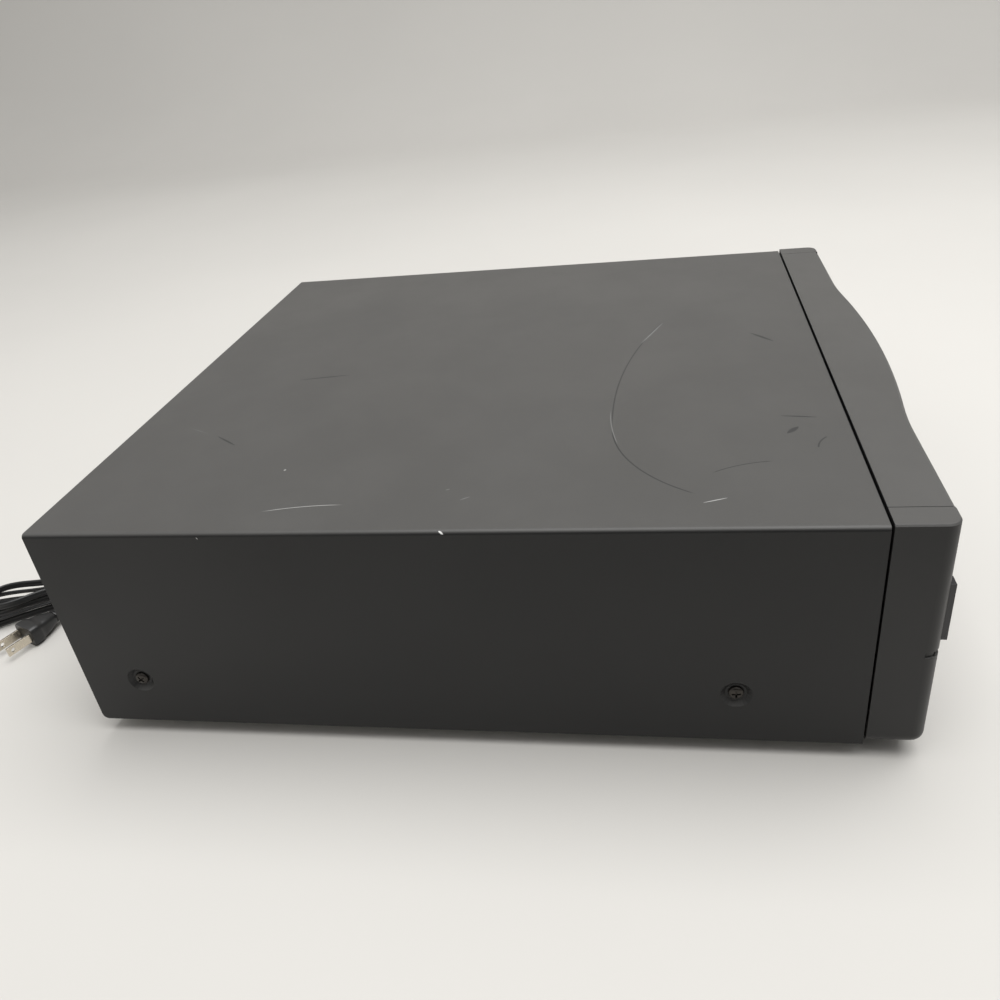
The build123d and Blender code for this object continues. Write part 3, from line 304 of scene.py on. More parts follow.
def strokeGroup():
    # a straight scratch between two places, thinner to its ends
    inputs = {"Start": (0.0, 0.0, 0.0), "End": (0.0, 0.0, 0.0), "Width": 0.0005}
    tree, net, given, result = newGroup("strokeScratch", inputs, "Mask")
    along = net.vector("SUBTRACT", given["End"], given["Start"])
    local = net.vector("SUBTRACT", net.place(), given["Start"])
    square = net.vector("DOT_PRODUCT", along, along)
    share = net.math("DIVIDE", net.vector("DOT_PRODUCT", local, along), square, clamp=True)
    away = net.vector("LENGTH", net.vector("SUBTRACT", local, net.vector("SCALE", along, scale=share)))
    ends = net.math("MULTIPLY", net.math("MULTIPLY", share, net.math("SUBTRACT", 1.0, share)), 4.0)
    width = net.math("MULTIPLY", given["Width"], net.math("ADD", 0.25, net.math("MULTIPLY", ends, 0.75)))
    net.link(net.spread(net.math("DIVIDE", away, width), 1.0, 0.0, 0.4, 1.0), result)
    return tree


def arcGroup():
    # a scratch along part of a circle in plan, its middle direction and half angle in radians
    inputs = {"Centre": (0.0, 0.0, 0.0), "Radius": 0.1, "Width": 0.0005, "Middle": 0.0, "Half": 0.5}
    tree, net, given, result = newGroup("arcScratch", inputs, "Mask")
    flat = net.vector("MULTIPLY", net.vector("SUBTRACT", net.place(), given["Centre"]), (1, 1, 0))
    off = net.math("ABSOLUTE", net.math("SUBTRACT", net.vector("LENGTH", flat), given["Radius"]))
    line = net.spread(net.math("DIVIDE", off, given["Width"]), 1.0, 0.0, 0.4, 1.0)
    parts = net.add("ShaderNodeSeparateXYZ")
    net.link(flat, parts.inputs[0])
    turn = net.math("SUBTRACT", net.math("ARCTAN2", parts.outputs["Y"], parts.outputs["X"]), given["Middle"])
    spare = net.math("SUBTRACT", given["Half"], net.math("ABSOLUTE", turn))
    inside = net.spread(spare, 0.0, 1.0, 0.0, 0.06)
    net.link(net.math("MULTIPLY", line, inside), result)
    return tree


effects = {
    "grain": grainGroup(),
    "wear": wearGroup(),
    "dustAndTopLight": dustGroup(),
    "flecks": specksGroup(),
    "stroke": strokeGroup(),
    "arc": arcGroup(),
}
makeCamera(camera)
makeStage(stage)


# colour of dust, also used as a painted top light on the cover paint and front plastic
dustAndTopLightColor = (0.42, 0.41, 0.39)


def finishMaterial(name, f):
    # the common build of one finish: tinted colour, uneven gloss, grain, softened and rubbed edges, dust, and on the
    # cover and front an even painted lightening of what faces up
    mat, net, shader = newMaterial(name, f["color"], f["roughness"], f.get("metallic", 0.0))
    cloud = net.texture("ShaderNodeTexNoise", f.get("cloudScale", 9.0), Detail=6.0, stretch=f.get("stretch"))
    vary = f.get("vary", 0.12)
    dim, pale = ([c * share for c in f["color"]] for share in (1 - vary, 1 + vary))
    color = net.mix(cloud.outputs["Fac"], dim, pale)
    rounded = net.add("ShaderNodeBevel", samples=4)
    rounded.inputs["Radius"].default_value = f.get("round", 0.35) * mm
    if f.get("wear"):
        rubbed = net.effect(effects["wear"], Rounded=rounded.outputs[0], Amount=f["wear"])
        color = net.mix(rubbed, color, f.get("wornColor", (0.30, 0.30, 0.30)))
    # dust on what faces up; on the cover paint and front plastic, where it is nearly even, it is painted light that
    # makes the top lighter than the sides
    if f.get("dustAndTopLight"):
        dustAndTopLightMask = net.effect(effects["dustAndTopLight"], Amount=f["dustAndTopLight"], Even=f.get("even", 0.15))
        color = net.mix(dustAndTopLightMask, color, dustAndTopLightColor)
    shine = f.get("shine", 0.5)
    shader.inputs["Specular IOR Level"].default_value = shine
    dull = None
    for mask, markColor, isDull in f.get("marks", lambda _: [])(net):
        color = net.mix(mask, color, markColor)
        if isDull:
            dull = net.math("MAXIMUM", dull, mask) if dull else mask
    if dull:
        dulled = net.math("MULTIPLY_ADD", dull, -0.25 * shine, shine)
        net.link(dulled, shader.inputs["Specular IOR Level"])
    net.link(color, shader.inputs["Base Color"])
    swing = f.get("glossSwing", 0.06)
    gloss = net.spread(cloud.outputs["Fac"], f["roughness"] - swing, f["roughness"] + swing, 0.3, 0.7)
    net.link(gloss, shader.inputs["Roughness"])
    bump = net.add("ShaderNodeBump")
    bump.inputs["Strength"].default_value = f.get("bump", 0.2)
    bump.inputs["Distance"].default_value = f.get("depth", 0.04) * mm
    grain = net.effect(effects["grain"], Scale=f.get("grainScale", 1400.0))
    net.link(grain, bump.inputs["Height"])
    net.link(rounded.outputs[0], bump.inputs["Normal"])
    net.link(bump.outputs[0], shader.inputs["Normal"])
    for key, value in f.get("shader", {}).items():
        shader.inputs[key].default_value = value
    return mat


def circleThrough(p, q, r):
    # centre and radius of the circle through three places in plan
    ax, ay = p
    bx, by = q
    cx, cy = r
    d = 2 * (ax * (by - cy) + bx * (cy - ay) + cx * (ay - by))
    sa, sb, sc = ax * ax + ay * ay, bx * bx + by * by, cx * cx + cy * cy
    x = (sa * (by - cy) + sb * (cy - ay) + sc * (ay - by)) / d
    y = (sa * (cx - bx) + sb * (ax - cx) + sc * (bx - ax)) / d
    return x, y, math.hypot(ax - x, ay - y)


# handling marks on the cover: where each starts, passes and ends, its width, and its shade
coverMarks = {
    "arcs": [
        ((59, -104), (-44, -76), (-113, -74), 0.5, "dark"),
        ((-113, -74), (-159, -90), (-184, -117), 0.55, "dark"),
        ((-87, -72), (-113, -74), (-132, -78), 0.3, "faint"),
        ((-195, 103), (-190.5, 82), (-189, 58), 0.34, "pale"),
        ((-92, 193), (-97, 183), (-103, 172), 0.4, "faint"),
        ((-164, -125), (-157, -138), (-153, -156), 0.5, "dark"),
        ((-140, -179), (-133, -181), (-128, -185), 0.6, "dark"),
    ],
    "strokes": [
        ((16.5, -88), (53, -102), 0.7, "faint"),
        ((-192, -120), (-188, -131), 0.5, "pale"),
        ((25, -160), (9, -172.5), 1.5, "dark"),
        ((-123, -166), (-116, -172), 2.2, "dark"),
        ((-102, -165), (-105, -183), 1.0, "dark"),
        ((-186, -1.5), (-183, -6), 0.45, "faint"),
        ((-176, 8), (-175, 6), 0.5, "faint"),
        ((-151.2, 105.8), (-150.0, 105.0), 0.9, "pale"),
        ((-22, 143), (-17, 109), 1.2, "dark"),
        ((-106, 166), (-118, 150), 0.9, "dark"),
    ],
    "chips": [
        ((-213.9, 3.8, 140.0), (-215.1, 1.3, 138.4), 0.7),
        ((-214.6, 129.4, 138.4), (-215, 128.4, 136.8), 0.3),
    ],
    "pale": (0.34, 0.34, 0.33),
    "faint": (0.17, 0.17, 0.167),
    "dark": (0.040, 0.040, 0.040),
    "chip": (0.8, 0.8, 0.78),
    "fleck": (0.08, 0.08, 0.078),
}


def coverMarkMasks(net):
    # each mark's mask, its colour, and whether it also takes off shine
    high = unit["top"] * mm
    masks = []
    for first, middle, last, width, shade in coverMarks["arcs"]:
        x, y, radius = circleThrough(first, middle, last)
        turns = [math.atan2(p[1] - y, p[0] - x) for p in (first, last)]
        mask = net.effect(
            effects["arc"],
            Centre=(x * mm, y * mm, 0),
            Radius=radius * mm,
            Width=width * mm,
            Middle=sum(turns) / 2,
            Half=abs(turns[0] - turns[1]) / 2,
        )
        masks.append((mask, coverMarks[shade], shade == "dark"))
    for first, last, width, shade in coverMarks["strokes"]:
        ends = [(p[0] * mm, p[1] * mm, high) for p in (first, last)]
        mask = net.effect(effects["stroke"], Start=ends[0], End=ends[1], Width=width * mm)
        masks.append((mask, coverMarks[shade], shade == "dark"))
    for first, last, width in coverMarks["chips"]:
        ends = [tuple(v * mm for v in p) for p in (first, last)]
        mask = net.effect(effects["stroke"], Start=ends[0], End=ends[1], Width=width * mm)
        masks.append((mask, coverMarks["chip"], False))
    masks.append((net.effect(effects["flecks"], Size=0.03, Share=0.05), coverMarks["fleck"], False))
    return masks


finishes = {
    # the cover's dust amount with even 0.90 is mostly painted light: an even lightening of the top so it reads
    # lighter than the sides
    "coverPaint": {
        "color": (0.0140, 0.0140, 0.0140), "roughness": 0.42, "shine": 0.34, "vary": 0.12, "glossSwing": 0.05,
        "round": 0.25, "wear": 0.35, "wornColor": (0.10, 0.10, 0.10), "dustAndTopLight": 0.165, "even": 0.90,
        "bump": 0.35, "depth": 0.05, "grainScale": 1300.0, "marks": coverMarkMasks,
    },
    # the front's dust amount with even 0.90 is mostly painted light: an even lightening of its top so it reads
    # lighter than its faces
    "frontPlastic": {
        "color": (0.018, 0.018, 0.0178), "roughness": 0.42, "shine": 0.38, "vary": 0.08, "round": 0.4,
        "wear": 0.25, "wornColor": (0.12, 0.12, 0.12), "dustAndTopLight": 0.17, "even": 0.90,
        "bump": 0.25, "depth": 0.04, "grainScale": 1700.0,
    },
    "keyPlastic": {"color": (0.030, 0.030, 0.032), "roughness": 0.30, "round": 0.5, "bump": 0.08, "wear": 0.2},
    "windowPlastic": {
        "color": (0.008, 0.009, 0.012), "roughness": 0.07, "glossSwing": 0.02, "bump": 0.01, "round": 0.3,
    },
    "zincSteel": {
        "color": (0.55, 0.55, 0.53), "roughness": 0.38, "metallic": 1.0, "vary": 0.14, "cloudScale": 60.0,
        "bump": 0.12, "dustAndTopLight": 0.12,
    },
    "rubber": {"color": (0.016, 0.016, 0.016), "roughness": 0.72, "bump": 0.3, "depth": 0.06, "dustAndTopLight": 0.15},
    "screwBlack": {
        "color": (0.055, 0.050, 0.045), "roughness": 0.36, "metallic": 0.85, "vary": 0.35, "cloudScale": 500.0,
        "wear": 0.7, "wornColor": (0.42, 0.38, 0.32), "round": 0.12,
    },
    "jackBlack": {"color": (0.018, 0.018, 0.018), "roughness": 0.28, "bump": 0.05},
    "displayGlass": {"color": (0.02, 0.04, 0.035), "roughness": 0.10, "bump": 0.0},
    "boardGreen": {"color": (0.035, 0.16, 0.06), "roughness": 0.34, "vary": 0.25, "cloudScale": 45.0},
    "trayPlastic": {"color": (0.030, 0.031, 0.033), "roughness": 0.46, "bump": 0.3, "dustAndTopLight": 0.05},
    "discPlate": {"color": (0.040, 0.041, 0.044), "roughness": 0.40, "bump": 0.3, "dustAndTopLight": 0.05},
    "acetal": {
        "color": (0.78, 0.77, 0.70), "roughness": 0.42, "vary": 0.05,
        "shader": {"Subsurface Weight": 0.15, "Subsurface Scale": 0.002},
    },
    "motorSteel": {
        "color": (0.62, 0.62, 0.60), "roughness": 0.30, "metallic": 1.0, "stretch": (1, 1, 40), "bump": 0.08,
    },
    "brassGear": {"color": (0.72, 0.52, 0.22), "roughness": 0.30, "metallic": 1.0},
    "frameSteel": {"color": (0.05, 0.05, 0.053), "roughness": 0.50, "bump": 0.3, "dustAndTopLight": 0.12},
    "liftPlastic": {"color": (0.045, 0.045, 0.048), "roughness": 0.48, "bump": 0.25},
    "rodSteel": {"color": (0.72, 0.72, 0.72), "roughness": 0.12, "metallic": 1.0},
    "lens": {"color": (0.55, 0.70, 0.95), "roughness": 0.03, "bump": 0.0, "shader": {"Coat Weight": 1.0}},
    "transformer": {
        "color": (0.09, 0.075, 0.06), "roughness": 0.5, "stretch": (1, 1, 30), "vary": 0.3, "cloudScale": 30.0,
    },
    "cordVinyl": {
        "color": (0.0135, 0.0135, 0.014), "roughness": 0.30, "vary": 0.2, "bump": 0.08, "grainScale": 900.0,
        "dustAndTopLight": 0.03,
    },
    "bladeMetal": {
        "color": (0.66, 0.60, 0.50), "roughness": 0.24, "metallic": 1.0, "vary": 0.2, "cloudScale": 120.0,
        "stretch": (3, 1, 1),
    },
    "markWhite": {"color": (0.52, 0.52, 0.50), "roughness": 0.5, "bump": 0.05},
    "jackWhite": {"color": (0.75, 0.75, 0.72), "roughness": 0.35},
    "jackRed": {"color": (0.50, 0.02, 0.02), "roughness": 0.35},
}
materials = {name: finishMaterial(name, f) for name, f in finishes.items()}
print("materials:", len(materials))

discKeys = [f"disc_button_{number}" for number in range(1, 6)]
keyNames = ["play", "pause", "stop", "skip_back", "skip_forward", "disc_skip", "power", "open_close"]
keyNames = [name + "_button" for name in keyNames] + discKeys
nodeFinish = {
    "coverPaint": ["top_cover"],
    "frontPlastic": ["front_panel", "drawer_front"],
    "keyPlastic": keyNames + ["level_knob"],
    "windowPlastic": ["display_window"],
    "zincSteel": ["bottom_chassis", "rear_panel", "clamp_bridge"],
    "rubber": ["feet", "loading_belt"],
    "screwBlack": ["cover_screws"],
    "jackBlack": ["output_jacks", "phones_jack", "cord_bushing"],
    "displayGlass": ["display_module"],
    "boardGreen": ["control_board", "main_board"],
    "trayPlastic": ["drawer_tray"],
    "discPlate": ["carousel", "carousel_cap"],
    "acetal": [
        "carousel_drive_gear", "loading_gear", "pulley_gear", "motor_pulley", "sled_gear", "cam_slider", "cam_gear",
        "clamper", "spindle_hub",
    ],
    "motorSteel": ["carousel_motor", "loading_motor", "spindle_motor", "sled_motor"],
    "brassGear": ["carousel_motor_pinion", "sled_motor_pinion"],
    "frameSteel": ["mech_frame"],
    "liftPlastic": ["lift_chassis", "optical_pickup"],
    "rodSteel": ["guide_rods"],
    "lens": ["objective_lens"],
    "transformer": ["power_transformer"],
    "cordVinyl": ["power_lead", "power_hank", "plug_lead", "plug_body", "hank_tie"],
    "bladeMetal": ["plug_blades"],
}
for finish, names in nodeFinish.items():
    for name in names:
        mesh = nodes[name].data
        mesh.materials.clear()
        mesh.materials.append(materials[finish])


# shared mesh making
def lathe(name, profile, segments, seat, closeEnds=True):
    # profile pairs are (radius, distance along the seat's z), in millimetres; seat is a matrix in metres
    verts, faces = [], []
    for radius, along in profile:
        for step in range(segments):
            turn = 2 * math.pi * step / segments
            verts.append(seat @ (Vector((radius * math.cos(turn), radius * math.sin(turn), along)) * mm))
    rings = len(profile)
    for ring in range(rings - 1):
        for step in range(segments):
            a, b = ring * segments + step, ring * segments + (step + 1) % segments
            faces.append((a, b, b + segments, a + segments))
    if closeEnds:
        faces.append(tuple(reversed(range(segments))))
        faces.append(tuple(range((rings - 1) * segments, rings * segments)))
    return addMesh(name, verts, faces)


def joined(name, parts):
    # one object from several, their meshes already in place
    whole = bmesh.new()
    for part in parts:
        part.data.transform(part.matrix_world)
        part.matrix_world = Matrix.Identity(4)
        whole.from_mesh(part.data)
    mesh = bpy.data.meshes.new(name)
    whole.to_mesh(mesh)
    whole.free()
    for part in parts:
        bpy.data.objects.remove(part)
    made = bpy.data.objects.new(name, mesh)
    scene.collection.objects.link(made)
    return made


def sharpAbove(piece, degrees):
    piece.data.set_sharp_from_angle(angle=math.radians(degrees))


def dress(piece, finish, slot, body, *replaced):
    piece.data.materials.clear()
    piece.data.materials.append(materials[finish])
    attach(piece, body)
    if replaced:
        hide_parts(*replaced)
    return piece


def alongY(x, y, z, toward=1):
    # a seat whose z axis points to the rear (or to the front with toward = -1)
    return Matrix.Translation(Vector((x, y, z)) * mm) @ Matrix.Rotation(-toward * math.pi / 2, 4, "X")


# power lead, in the frame of the hank: u along it, v across it
cordRoute = {
    "width": 4.4,
    "bushing": (-95.0, 30.0, 20.0),
    "depth": 426.0,
    "hankPlace": (-90.0, 526.0),
    "turn": 25.0,
    "round": 19.2,
    "waist": 0.6,
    "front": 50.0,
    "rear": 94.0,
    "rearStep": 13.0,
    "layers": 4,
    "pitch": 5.0,
    "lift": 1.2,
    "start": 20.0,
    "end": (-33.0, 17.4),
    "plugFace": (-138.0, 533.5),
    "plugHeading": (-0.92, 0.38, 0.0),
    "plugLength": 22.0,
    "plugNeck": 7.0,
    "plugHeight": 15.0,
    "plugWidth": 20.0,
    "flatWidth": 4.9,
    "flatThick": 2.7,
    "flatWaist": 0.55,  # thickness between the two cores, as a share
    "lean": 55.0,  # how the flat side leans, in degrees, and how that changes along the lead
    "leanSwing": 62.0,
    "leanEvery": 0.11,
    "tieHalf": 8.9,
    "tieCorner": 3.2,
    "tieWall": 0.8,
    "length": 1.27,
    "thick": 0.0044,
}


def onFloor(x, y, z):
    return Vector((x, unit["seam"] + y, z))


def hankPoint(u, v, z, r=cordRoute):
    a = math.radians(r["turn"])
    x, y = r["hankPlace"]
    return onFloor(x - u * math.sin(a) - v * math.cos(a), y + u * math.cos(a) - v * math.sin(a), z)


def layerHeight(layer, r=cordRoute):
    return r["width"] / 2 + r["lift"] + layer * r["pitch"]


def hankSide(u, r=cordRoute):
    reach = r["rear"] if u > 0 else r["front"]
    return r["waist"] + (r["round"] - r["waist"]) * abs(u) / reach


def leadPoints(r=cordRoute):
    x, z, out = r["bushing"]
    y = r["depth"] + out
    low = layerHeight(0)
    return [
        onFloor(x, y, z),
        onFloor(x, y + 12, z - 1),
        onFloor(x - 1, y + 25, z - 10),
        onFloor(x, y + 37, 8.5),
        onFloor(x + 0.5, y + 50, low),
        hankPoint(-14, 12.9, low),
        hankPoint(3, hankSide(3), low),
    ]


def hankPoints(r=cordRoute):
    points = []
    for layer in range(r["layers"]):
        last = layer == r["layers"] - 1
        far = r["rear"] - layer * r["rearStep"]
        near = -r["front"] - (12 if last else 0)
        z = layerHeight(layer)
        points += [hankPoint(far, r["round"], z), hankPoint(far, -r["round"], z)]
        points += [hankPoint(0, -r["waist"], z)]
        points += [hankPoint(near, -r["round"], z), hankPoint(near, r["round"], z)]
        if not last:
            points += [hankPoint(0, r["waist"], layerHeight(layer + 1))]
    return points


def plugSeat(r=cordRoute):
    heading = Vector(r["plugHeading"]).normalized()
    up = Vector((0, 0, 1))
    across = heading.cross(up)
    face = onFloor(*r["plugFace"], r["plugHeight"] / 2)
    return Matrix.Translation(face * mm) @ Matrix((up, across, heading)).transposed().to_4x4()


def plugLeadPoints(r=cordRoute):
    heading = Vector(r["plugHeading"]).normalized()
    face = onFloor(*r["plugFace"], r["plugHeight"] / 2)
    back = r["plugLength"] + r["plugNeck"]
    top = layerHeight(r["layers"] - 1)
    return [
        hankPoint(*r["end"], top),
        hankPoint(-25, 16.6, top - 0.3),
        face - heading * (back + 18) + Vector((0, 0, 3)),
        face - heading * back,
    ]


def splinePath(points):
    # the smooth line that the route's control points make
    curve = bpy.data.curves.new("leadLine", "CURVE")
    curve.dimensions = "3D"
    curve.resolution_u = 14
    spline = curve.splines.new("NURBS")
    spline.points.add(len(points) - 1)
    for knot, place in zip(spline.points, points):
        knot.co = (*(place * mm), 1)
    spline.order_u = 3
    spline.use_endpoint_u = True
    guide = bpy.data.objects.new("leadLine", curve)
    scene.collection.objects.link(guide)
    bpy.context.view_layer.update()
    line = bpy.data.meshes.new_from_object(guide)
    path = [v.co.copy() for v in line.vertices]
    bpy.data.objects.remove(guide)
    bpy.data.curves.remove(curve)
    return path


def flatTwin(step, sides, r=cordRoute):
    # one point of the figure eight outline of a flat twin lead
    turn = 2 * math.pi * step / sides
    waist = r["flatWaist"] + (1 - r["flatWaist"]) * min(1.0, abs(2.1 * math.cos(turn)))
    return math.cos(turn) * r["flatWidth"] / 2, math.sin(turn) * r["flatThick"] / 2 * waist


def leadTube(name, path, r=cordRoute, sides=20):
    verts, faces = [], []
    across = Vector((1, 0, 0))
    travelled = 0.0
    for index, place in enumerate(path):
        before, after = path[max(index - 1, 0)], path[min(index + 1, len(path) - 1)]
        travelled += (place - before).length
        ahead = (after - before).normalized()
        across = (across - ahead * across.dot(ahead)).normalized()
        lift = ahead.cross(across)
        lean = math.radians(r["leanSwing"] * math.sin(travelled / r["leanEvery"]) + r["lean"])
        u = across * math.cos(lean) + lift * math.sin(lean)
        v = ahead.cross(u)
        for step in range(sides):
            a, b = flatTwin(step, sides)
            verts.append(place + u * a * mm + v * b * mm)
    for ring in range(len(path) - 1):
        for step in range(sides):
            a, b = ring * sides + step, ring * sides + (step + 1) % sides
            faces.append((a, b, b + sides, a + sides))
    faces.append(tuple(reversed(range(sides))))
    faces.append(tuple(range(len(verts) - sides, len(verts))))
    return addMesh(name, verts, faces)


def superRing(seat, along, halfHeight, halfWidth, power, sides=40):
    ring = []
    for step in range(sides):
        turn = 2 * math.pi * step / sides
        c, s = math.cos(turn), math.sin(turn)
        x = halfHeight * math.copysign(abs(c) ** (2 / power), c)
        y = halfWidth * math.copysign(abs(s) ** (2 / power), s)
        ring.append(seat @ (Vector((x, y, along)) * mm))
    return ring


def loftedRings(name, rings):
    sides = len(rings[0])
    verts = [v for ring in rings for v in ring]
    faces = [tuple(reversed(range(sides))), tuple(range(len(verts) - sides, len(verts)))]
    for ring in range(len(rings) - 1):
        for step in range(sides):
            a, b = ring * sides + step, ring * sides + (step + 1) % sides
            faces.append((a, b, b + sides, a + sides))
    return addMesh(name, verts, faces)


def makePlug(r=cordRoute):
    # moulded grip, its waist, and a ribbed neck; along is counted from the blades' face
    seat = plugSeat()
    h, w = r["plugHeight"] / 2, r["plugWidth"] / 2
    neckEnd = -(r["plugLength"] + r["plugNeck"])
    rings = [superRing(seat, neckEnd, 2.9, 3.2, 2.2), superRing(seat, neckEnd + 0.4, 3.3, 3.6, 2.2)]
    for rib in range(4):
        base = neckEnd + 0.9 + rib * 1.7
        size = 3.35 + rib * 0.16
        for along, grow in ((0, 0.5), (0.75, 0.5), (0.8, -0.15), (1.6, -0.15)):
            rings.append(superRing(seat, base + along, size + grow, size + 0.3 + grow, 2.3))
    for share, height, width, power in (
        (1.0, 0.53, 0.46, 2.4), (0.9, 0.62, 0.56, 2.8), (0.7, 0.78, 0.72, 3.2), (0.5, 0.84, 0.84, 3.6),
        (0.4, 0.84, 0.86, 4.0), (0.36, 0.93, 0.94, 4.2), (0.3, 0.98, 0.985, 4.6), (0.05, 1.0, 1.0, 5.0),
        (0.01, 0.97, 0.975, 5.0), (0.0, 0.90, 0.92, 5.0),
    ):
        rings.append(superRing(seat, -r["plugLength"] * share, h * height, w * width, power))
    rings.append(superRing(seat, -0.25, h * 0.84, w * 0.86, 5.0))
    plug = loftedRings("plugShell", rings)
    sharpAbove(plug, 50)
    return dress(plug, "cordVinyl", "cord_plastic", "case", "plug_body")


def makeBushing(r=cordRoute):
    # flanged strain relief: a stepped taper round the lead
    x, z, out = r["bushing"]
    face = unit["rear"] - 1.1
    tip = unit["rear"] + out - face
    profile = [(6.2, -6.9), (6.2, -0.1), (8.6, 0.0), (8.9, 0.3), (8.9, 1.9), (8.5, 2.4), (6.9, 2.5)]
    steps = 5
    run = (tip - 3.4) / steps
    for step in range(steps):
        radius = 6.6 - 0.36 * step
        start = 2.8 + step * run
        profile += [(radius, start), (radius - 0.1, start + run * 0.62)]
        profile += [(radius - 0.9, start + run * 0.66), (radius - 0.9, start + run * 0.98)]
    profile += [(4.5, tip - 0.5), (4.2, tip - 0.1), (3.2, tip)]
    relief = lathe("strainRelief", profile, 48, alongY(x, face, z))
    sharpAbove(relief, 40)
    return dress(relief, "jackBlack", "cord_plastic", "case", "cord_bushing")


def makeTie():
    # a flat band round the hank's waist
    low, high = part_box("hank_tie")
    a = math.radians(cordRoute["turn"])
    middle = (low + high) / 2
    seat = Matrix.Translation(middle) @ Matrix.Rotation(a, 4, "Z") @ Matrix.Rotation(-math.pi / 2, 4, "X")
    halfTall = (high.z - low.z) / 2 / mm
    halfWide = cordRoute["tieHalf"]
    rings = []
    for along, grow in ((-2.0, -0.25), (-1.7, 0.0), (1.7, 0.0), (2.0, -0.25)):
        outline = roundedBox(halfWide + grow, halfTall + grow, cordRoute["tieCorner"], along)
        rings.append([seat @ (p * mm) for p in outline])
    wall = cordRoute["tieWall"]
    for along in (2.0, -2.0):
        outline = roundedBox(halfWide - wall, halfTall - wall, cordRoute["tieCorner"] - 0.6, along)
        rings.append([seat @ (p * mm) for p in outline])
    loop = rings
    sides = len(loop[0])
    verts = [v for ring in loop for v in ring]
    faces = []
    for ring in range(len(loop)):
        after = (ring + 1) % len(loop)
        for step in range(sides):
            b = (step + 1) % sides
            faces.append((ring * sides + step, ring * sides + b, after * sides + b, after * sides + step))
    tie = addMesh("hankTie", verts, faces)
    sharpAbove(tie, 35)
    return dress(tie, "jackBlack", "cord_plastic", "case", "hank_tie")


def roundedBox(halfX, halfY, corner, z, steps=6):
    # outline of a rectangle with round corners
    points = []
    for quarter, (sx, sy) in enumerate(((1, 1), (-1, 1), (-1, -1), (1, -1))):
        for step in range(steps + 1):
            turn = math.radians(90 * (quarter + step / steps))
            x = sx * (halfX - corner) + corner * math.cos(turn)
            points.append(Vector((x, sy * (halfY - corner) + corner * math.sin(turn), z)))
    return points


leadPath = splinePath(leadPoints() + hankPoints() + plugLeadPoints())
powerCord = leadTube("powerCord", leadPath)
dress(powerCord, "cordVinyl", "cord_plastic", "case", "power_lead", "power_hank", "plug_lead")
plugShell = makePlug()
makeBushing()
makeTie()
leadLength = sum((b - a).length for a, b in zip(leadPath, leadPath[1:]))
print("power lead: %.3f m along its line" % leadLength)


# screws of the cover: domed heads with a cross recess
coverScrews = {
    "headRadius": 4.0,
    "height": 31.0,
    "sideY": (62.5, 391.4),
    "dish": 2.2,
    "rearX": (-150, 150),
    "rearDrop": 6.0,
    "rearRadius": 3.4,
}


def screwHead(name, seat, radius):
    dome = ((1.0, 0.0), (1.0, 0.5), (0.97, 0.9), (0.86, 1.4), (0.66, 1.75), (0.4, 1.93))
    profile = [(radius * share, along) for share, along in dome] + [(0.3, 2.0)]
    head = lathe(name, profile, 40, Matrix.Identity(4))
    cutter = bmesh.new()
    for turn in (45, 135):
        arm = bmesh.ops.create_cube(cutter, size=1.0)
        shape = Matrix.Rotation(math.radians(turn), 4, "Z") @ Matrix.Translation((0, 0, 1.75 * mm))
        shape = shape @ Matrix.Diagonal((radius * 1.15 * mm, 0.95 * mm, 2.2 * mm, 1))
        bmesh.ops.transform(cutter, matrix=shape, verts=arm["verts"])
    mesh = bpy.data.meshes.new("crossCutter")
    cutter.to_mesh(mesh)
    cutter.free()
    tool = bpy.data.objects.new("crossCutter", mesh)
    scene.collection.objects.link(tool)
    cut = head.modifiers.new("cross", "BOOLEAN")
    cut.object = tool
    cut.operation = "DIFFERENCE"
    cut.use_self = True
    bpy.context.view_layer.update()
    done = bpy.data.meshes.new_from_object(head.evaluated_get(bpy.context.evaluated_depsgraph_get()))
    head.modifiers.clear()
    head.data = done
    bpy.data.objects.remove(tool)
    head.data.transform(seat)
    return head


def makeCoverScrews(s):
    heads = []
    for side in (-1, 1):
        for y in s["sideY"]:
            x = side * (unit["halfWidth"] - s["dish"])
            place = Vector((x, unit["seam"] + y, unit["under"] + s["height"])) * mm
            seat = Matrix.Translation(place) @ Matrix.Rotation(side * math.pi / 2, 4, "Y")
            seat = seat @ Matrix.Rotation(0.4 * side + y, 4, "Z")  # each driven home at its own angle
            heads.append(screwHead("head", seat, s["headRadius"]))
    for x in s["rearX"]:
        heads.append(screwHead("head", alongY(x, unit["rear"], unit["top"] - s["rearDrop"]), s["rearRadius"]))
    screws = joined("crossScrews", heads)
    sharpAbove(screws, 35)
    return dress(screws, "screwBlack", "screw_black", "case", "cover_screws")


makeCoverScrews(coverScrews)

# feet: cups with a raised ring to stand on
foot = {"radius": 20.0, "height": 10.0, "places": [(sx * 170.0, y) for sx in (-1, 1) for y in (-156.2, 185.8)]}


def makeFeet(f):
    r, h = f["radius"], f["height"]
    profile = [(2.0, 1.5), (12.6, 1.5), (13.0, 1.1), (13.0, 0.4), (13.4, 0.0), (18.6, 0.0), (19.2, 0.5)]
    profile += [(19.3, 2.6), (19.6, 2.7), (r, h - 0.8), (r - 0.4, h), (2.0, h)]
    parts = [lathe("cup", profile, 64, Matrix.Translation((x * mm, y * mm, 0))) for x, y in f["places"]]
    feet = joined("rubberFeet", parts)
    sharpAbove(feet, 35)
    return dress(feet, "rubber", "foot_plastic", "case", "feet")


makeFeet(foot)
print("screws and feet")

# level knob: fluted rim, dished cap, pointer line
knob = {
    "x": -150.0, "z": 28.0, "front": -236.8,
    "radius": 8.0, "skirt": 8.4, "flutes": 36, "stem": 4.0, "stemEnd": 18.9,
}
knobPointer = {"half": 0.45, "from": 2.6, "to": 7.0, "thick": 0.3, "above": 0.08}


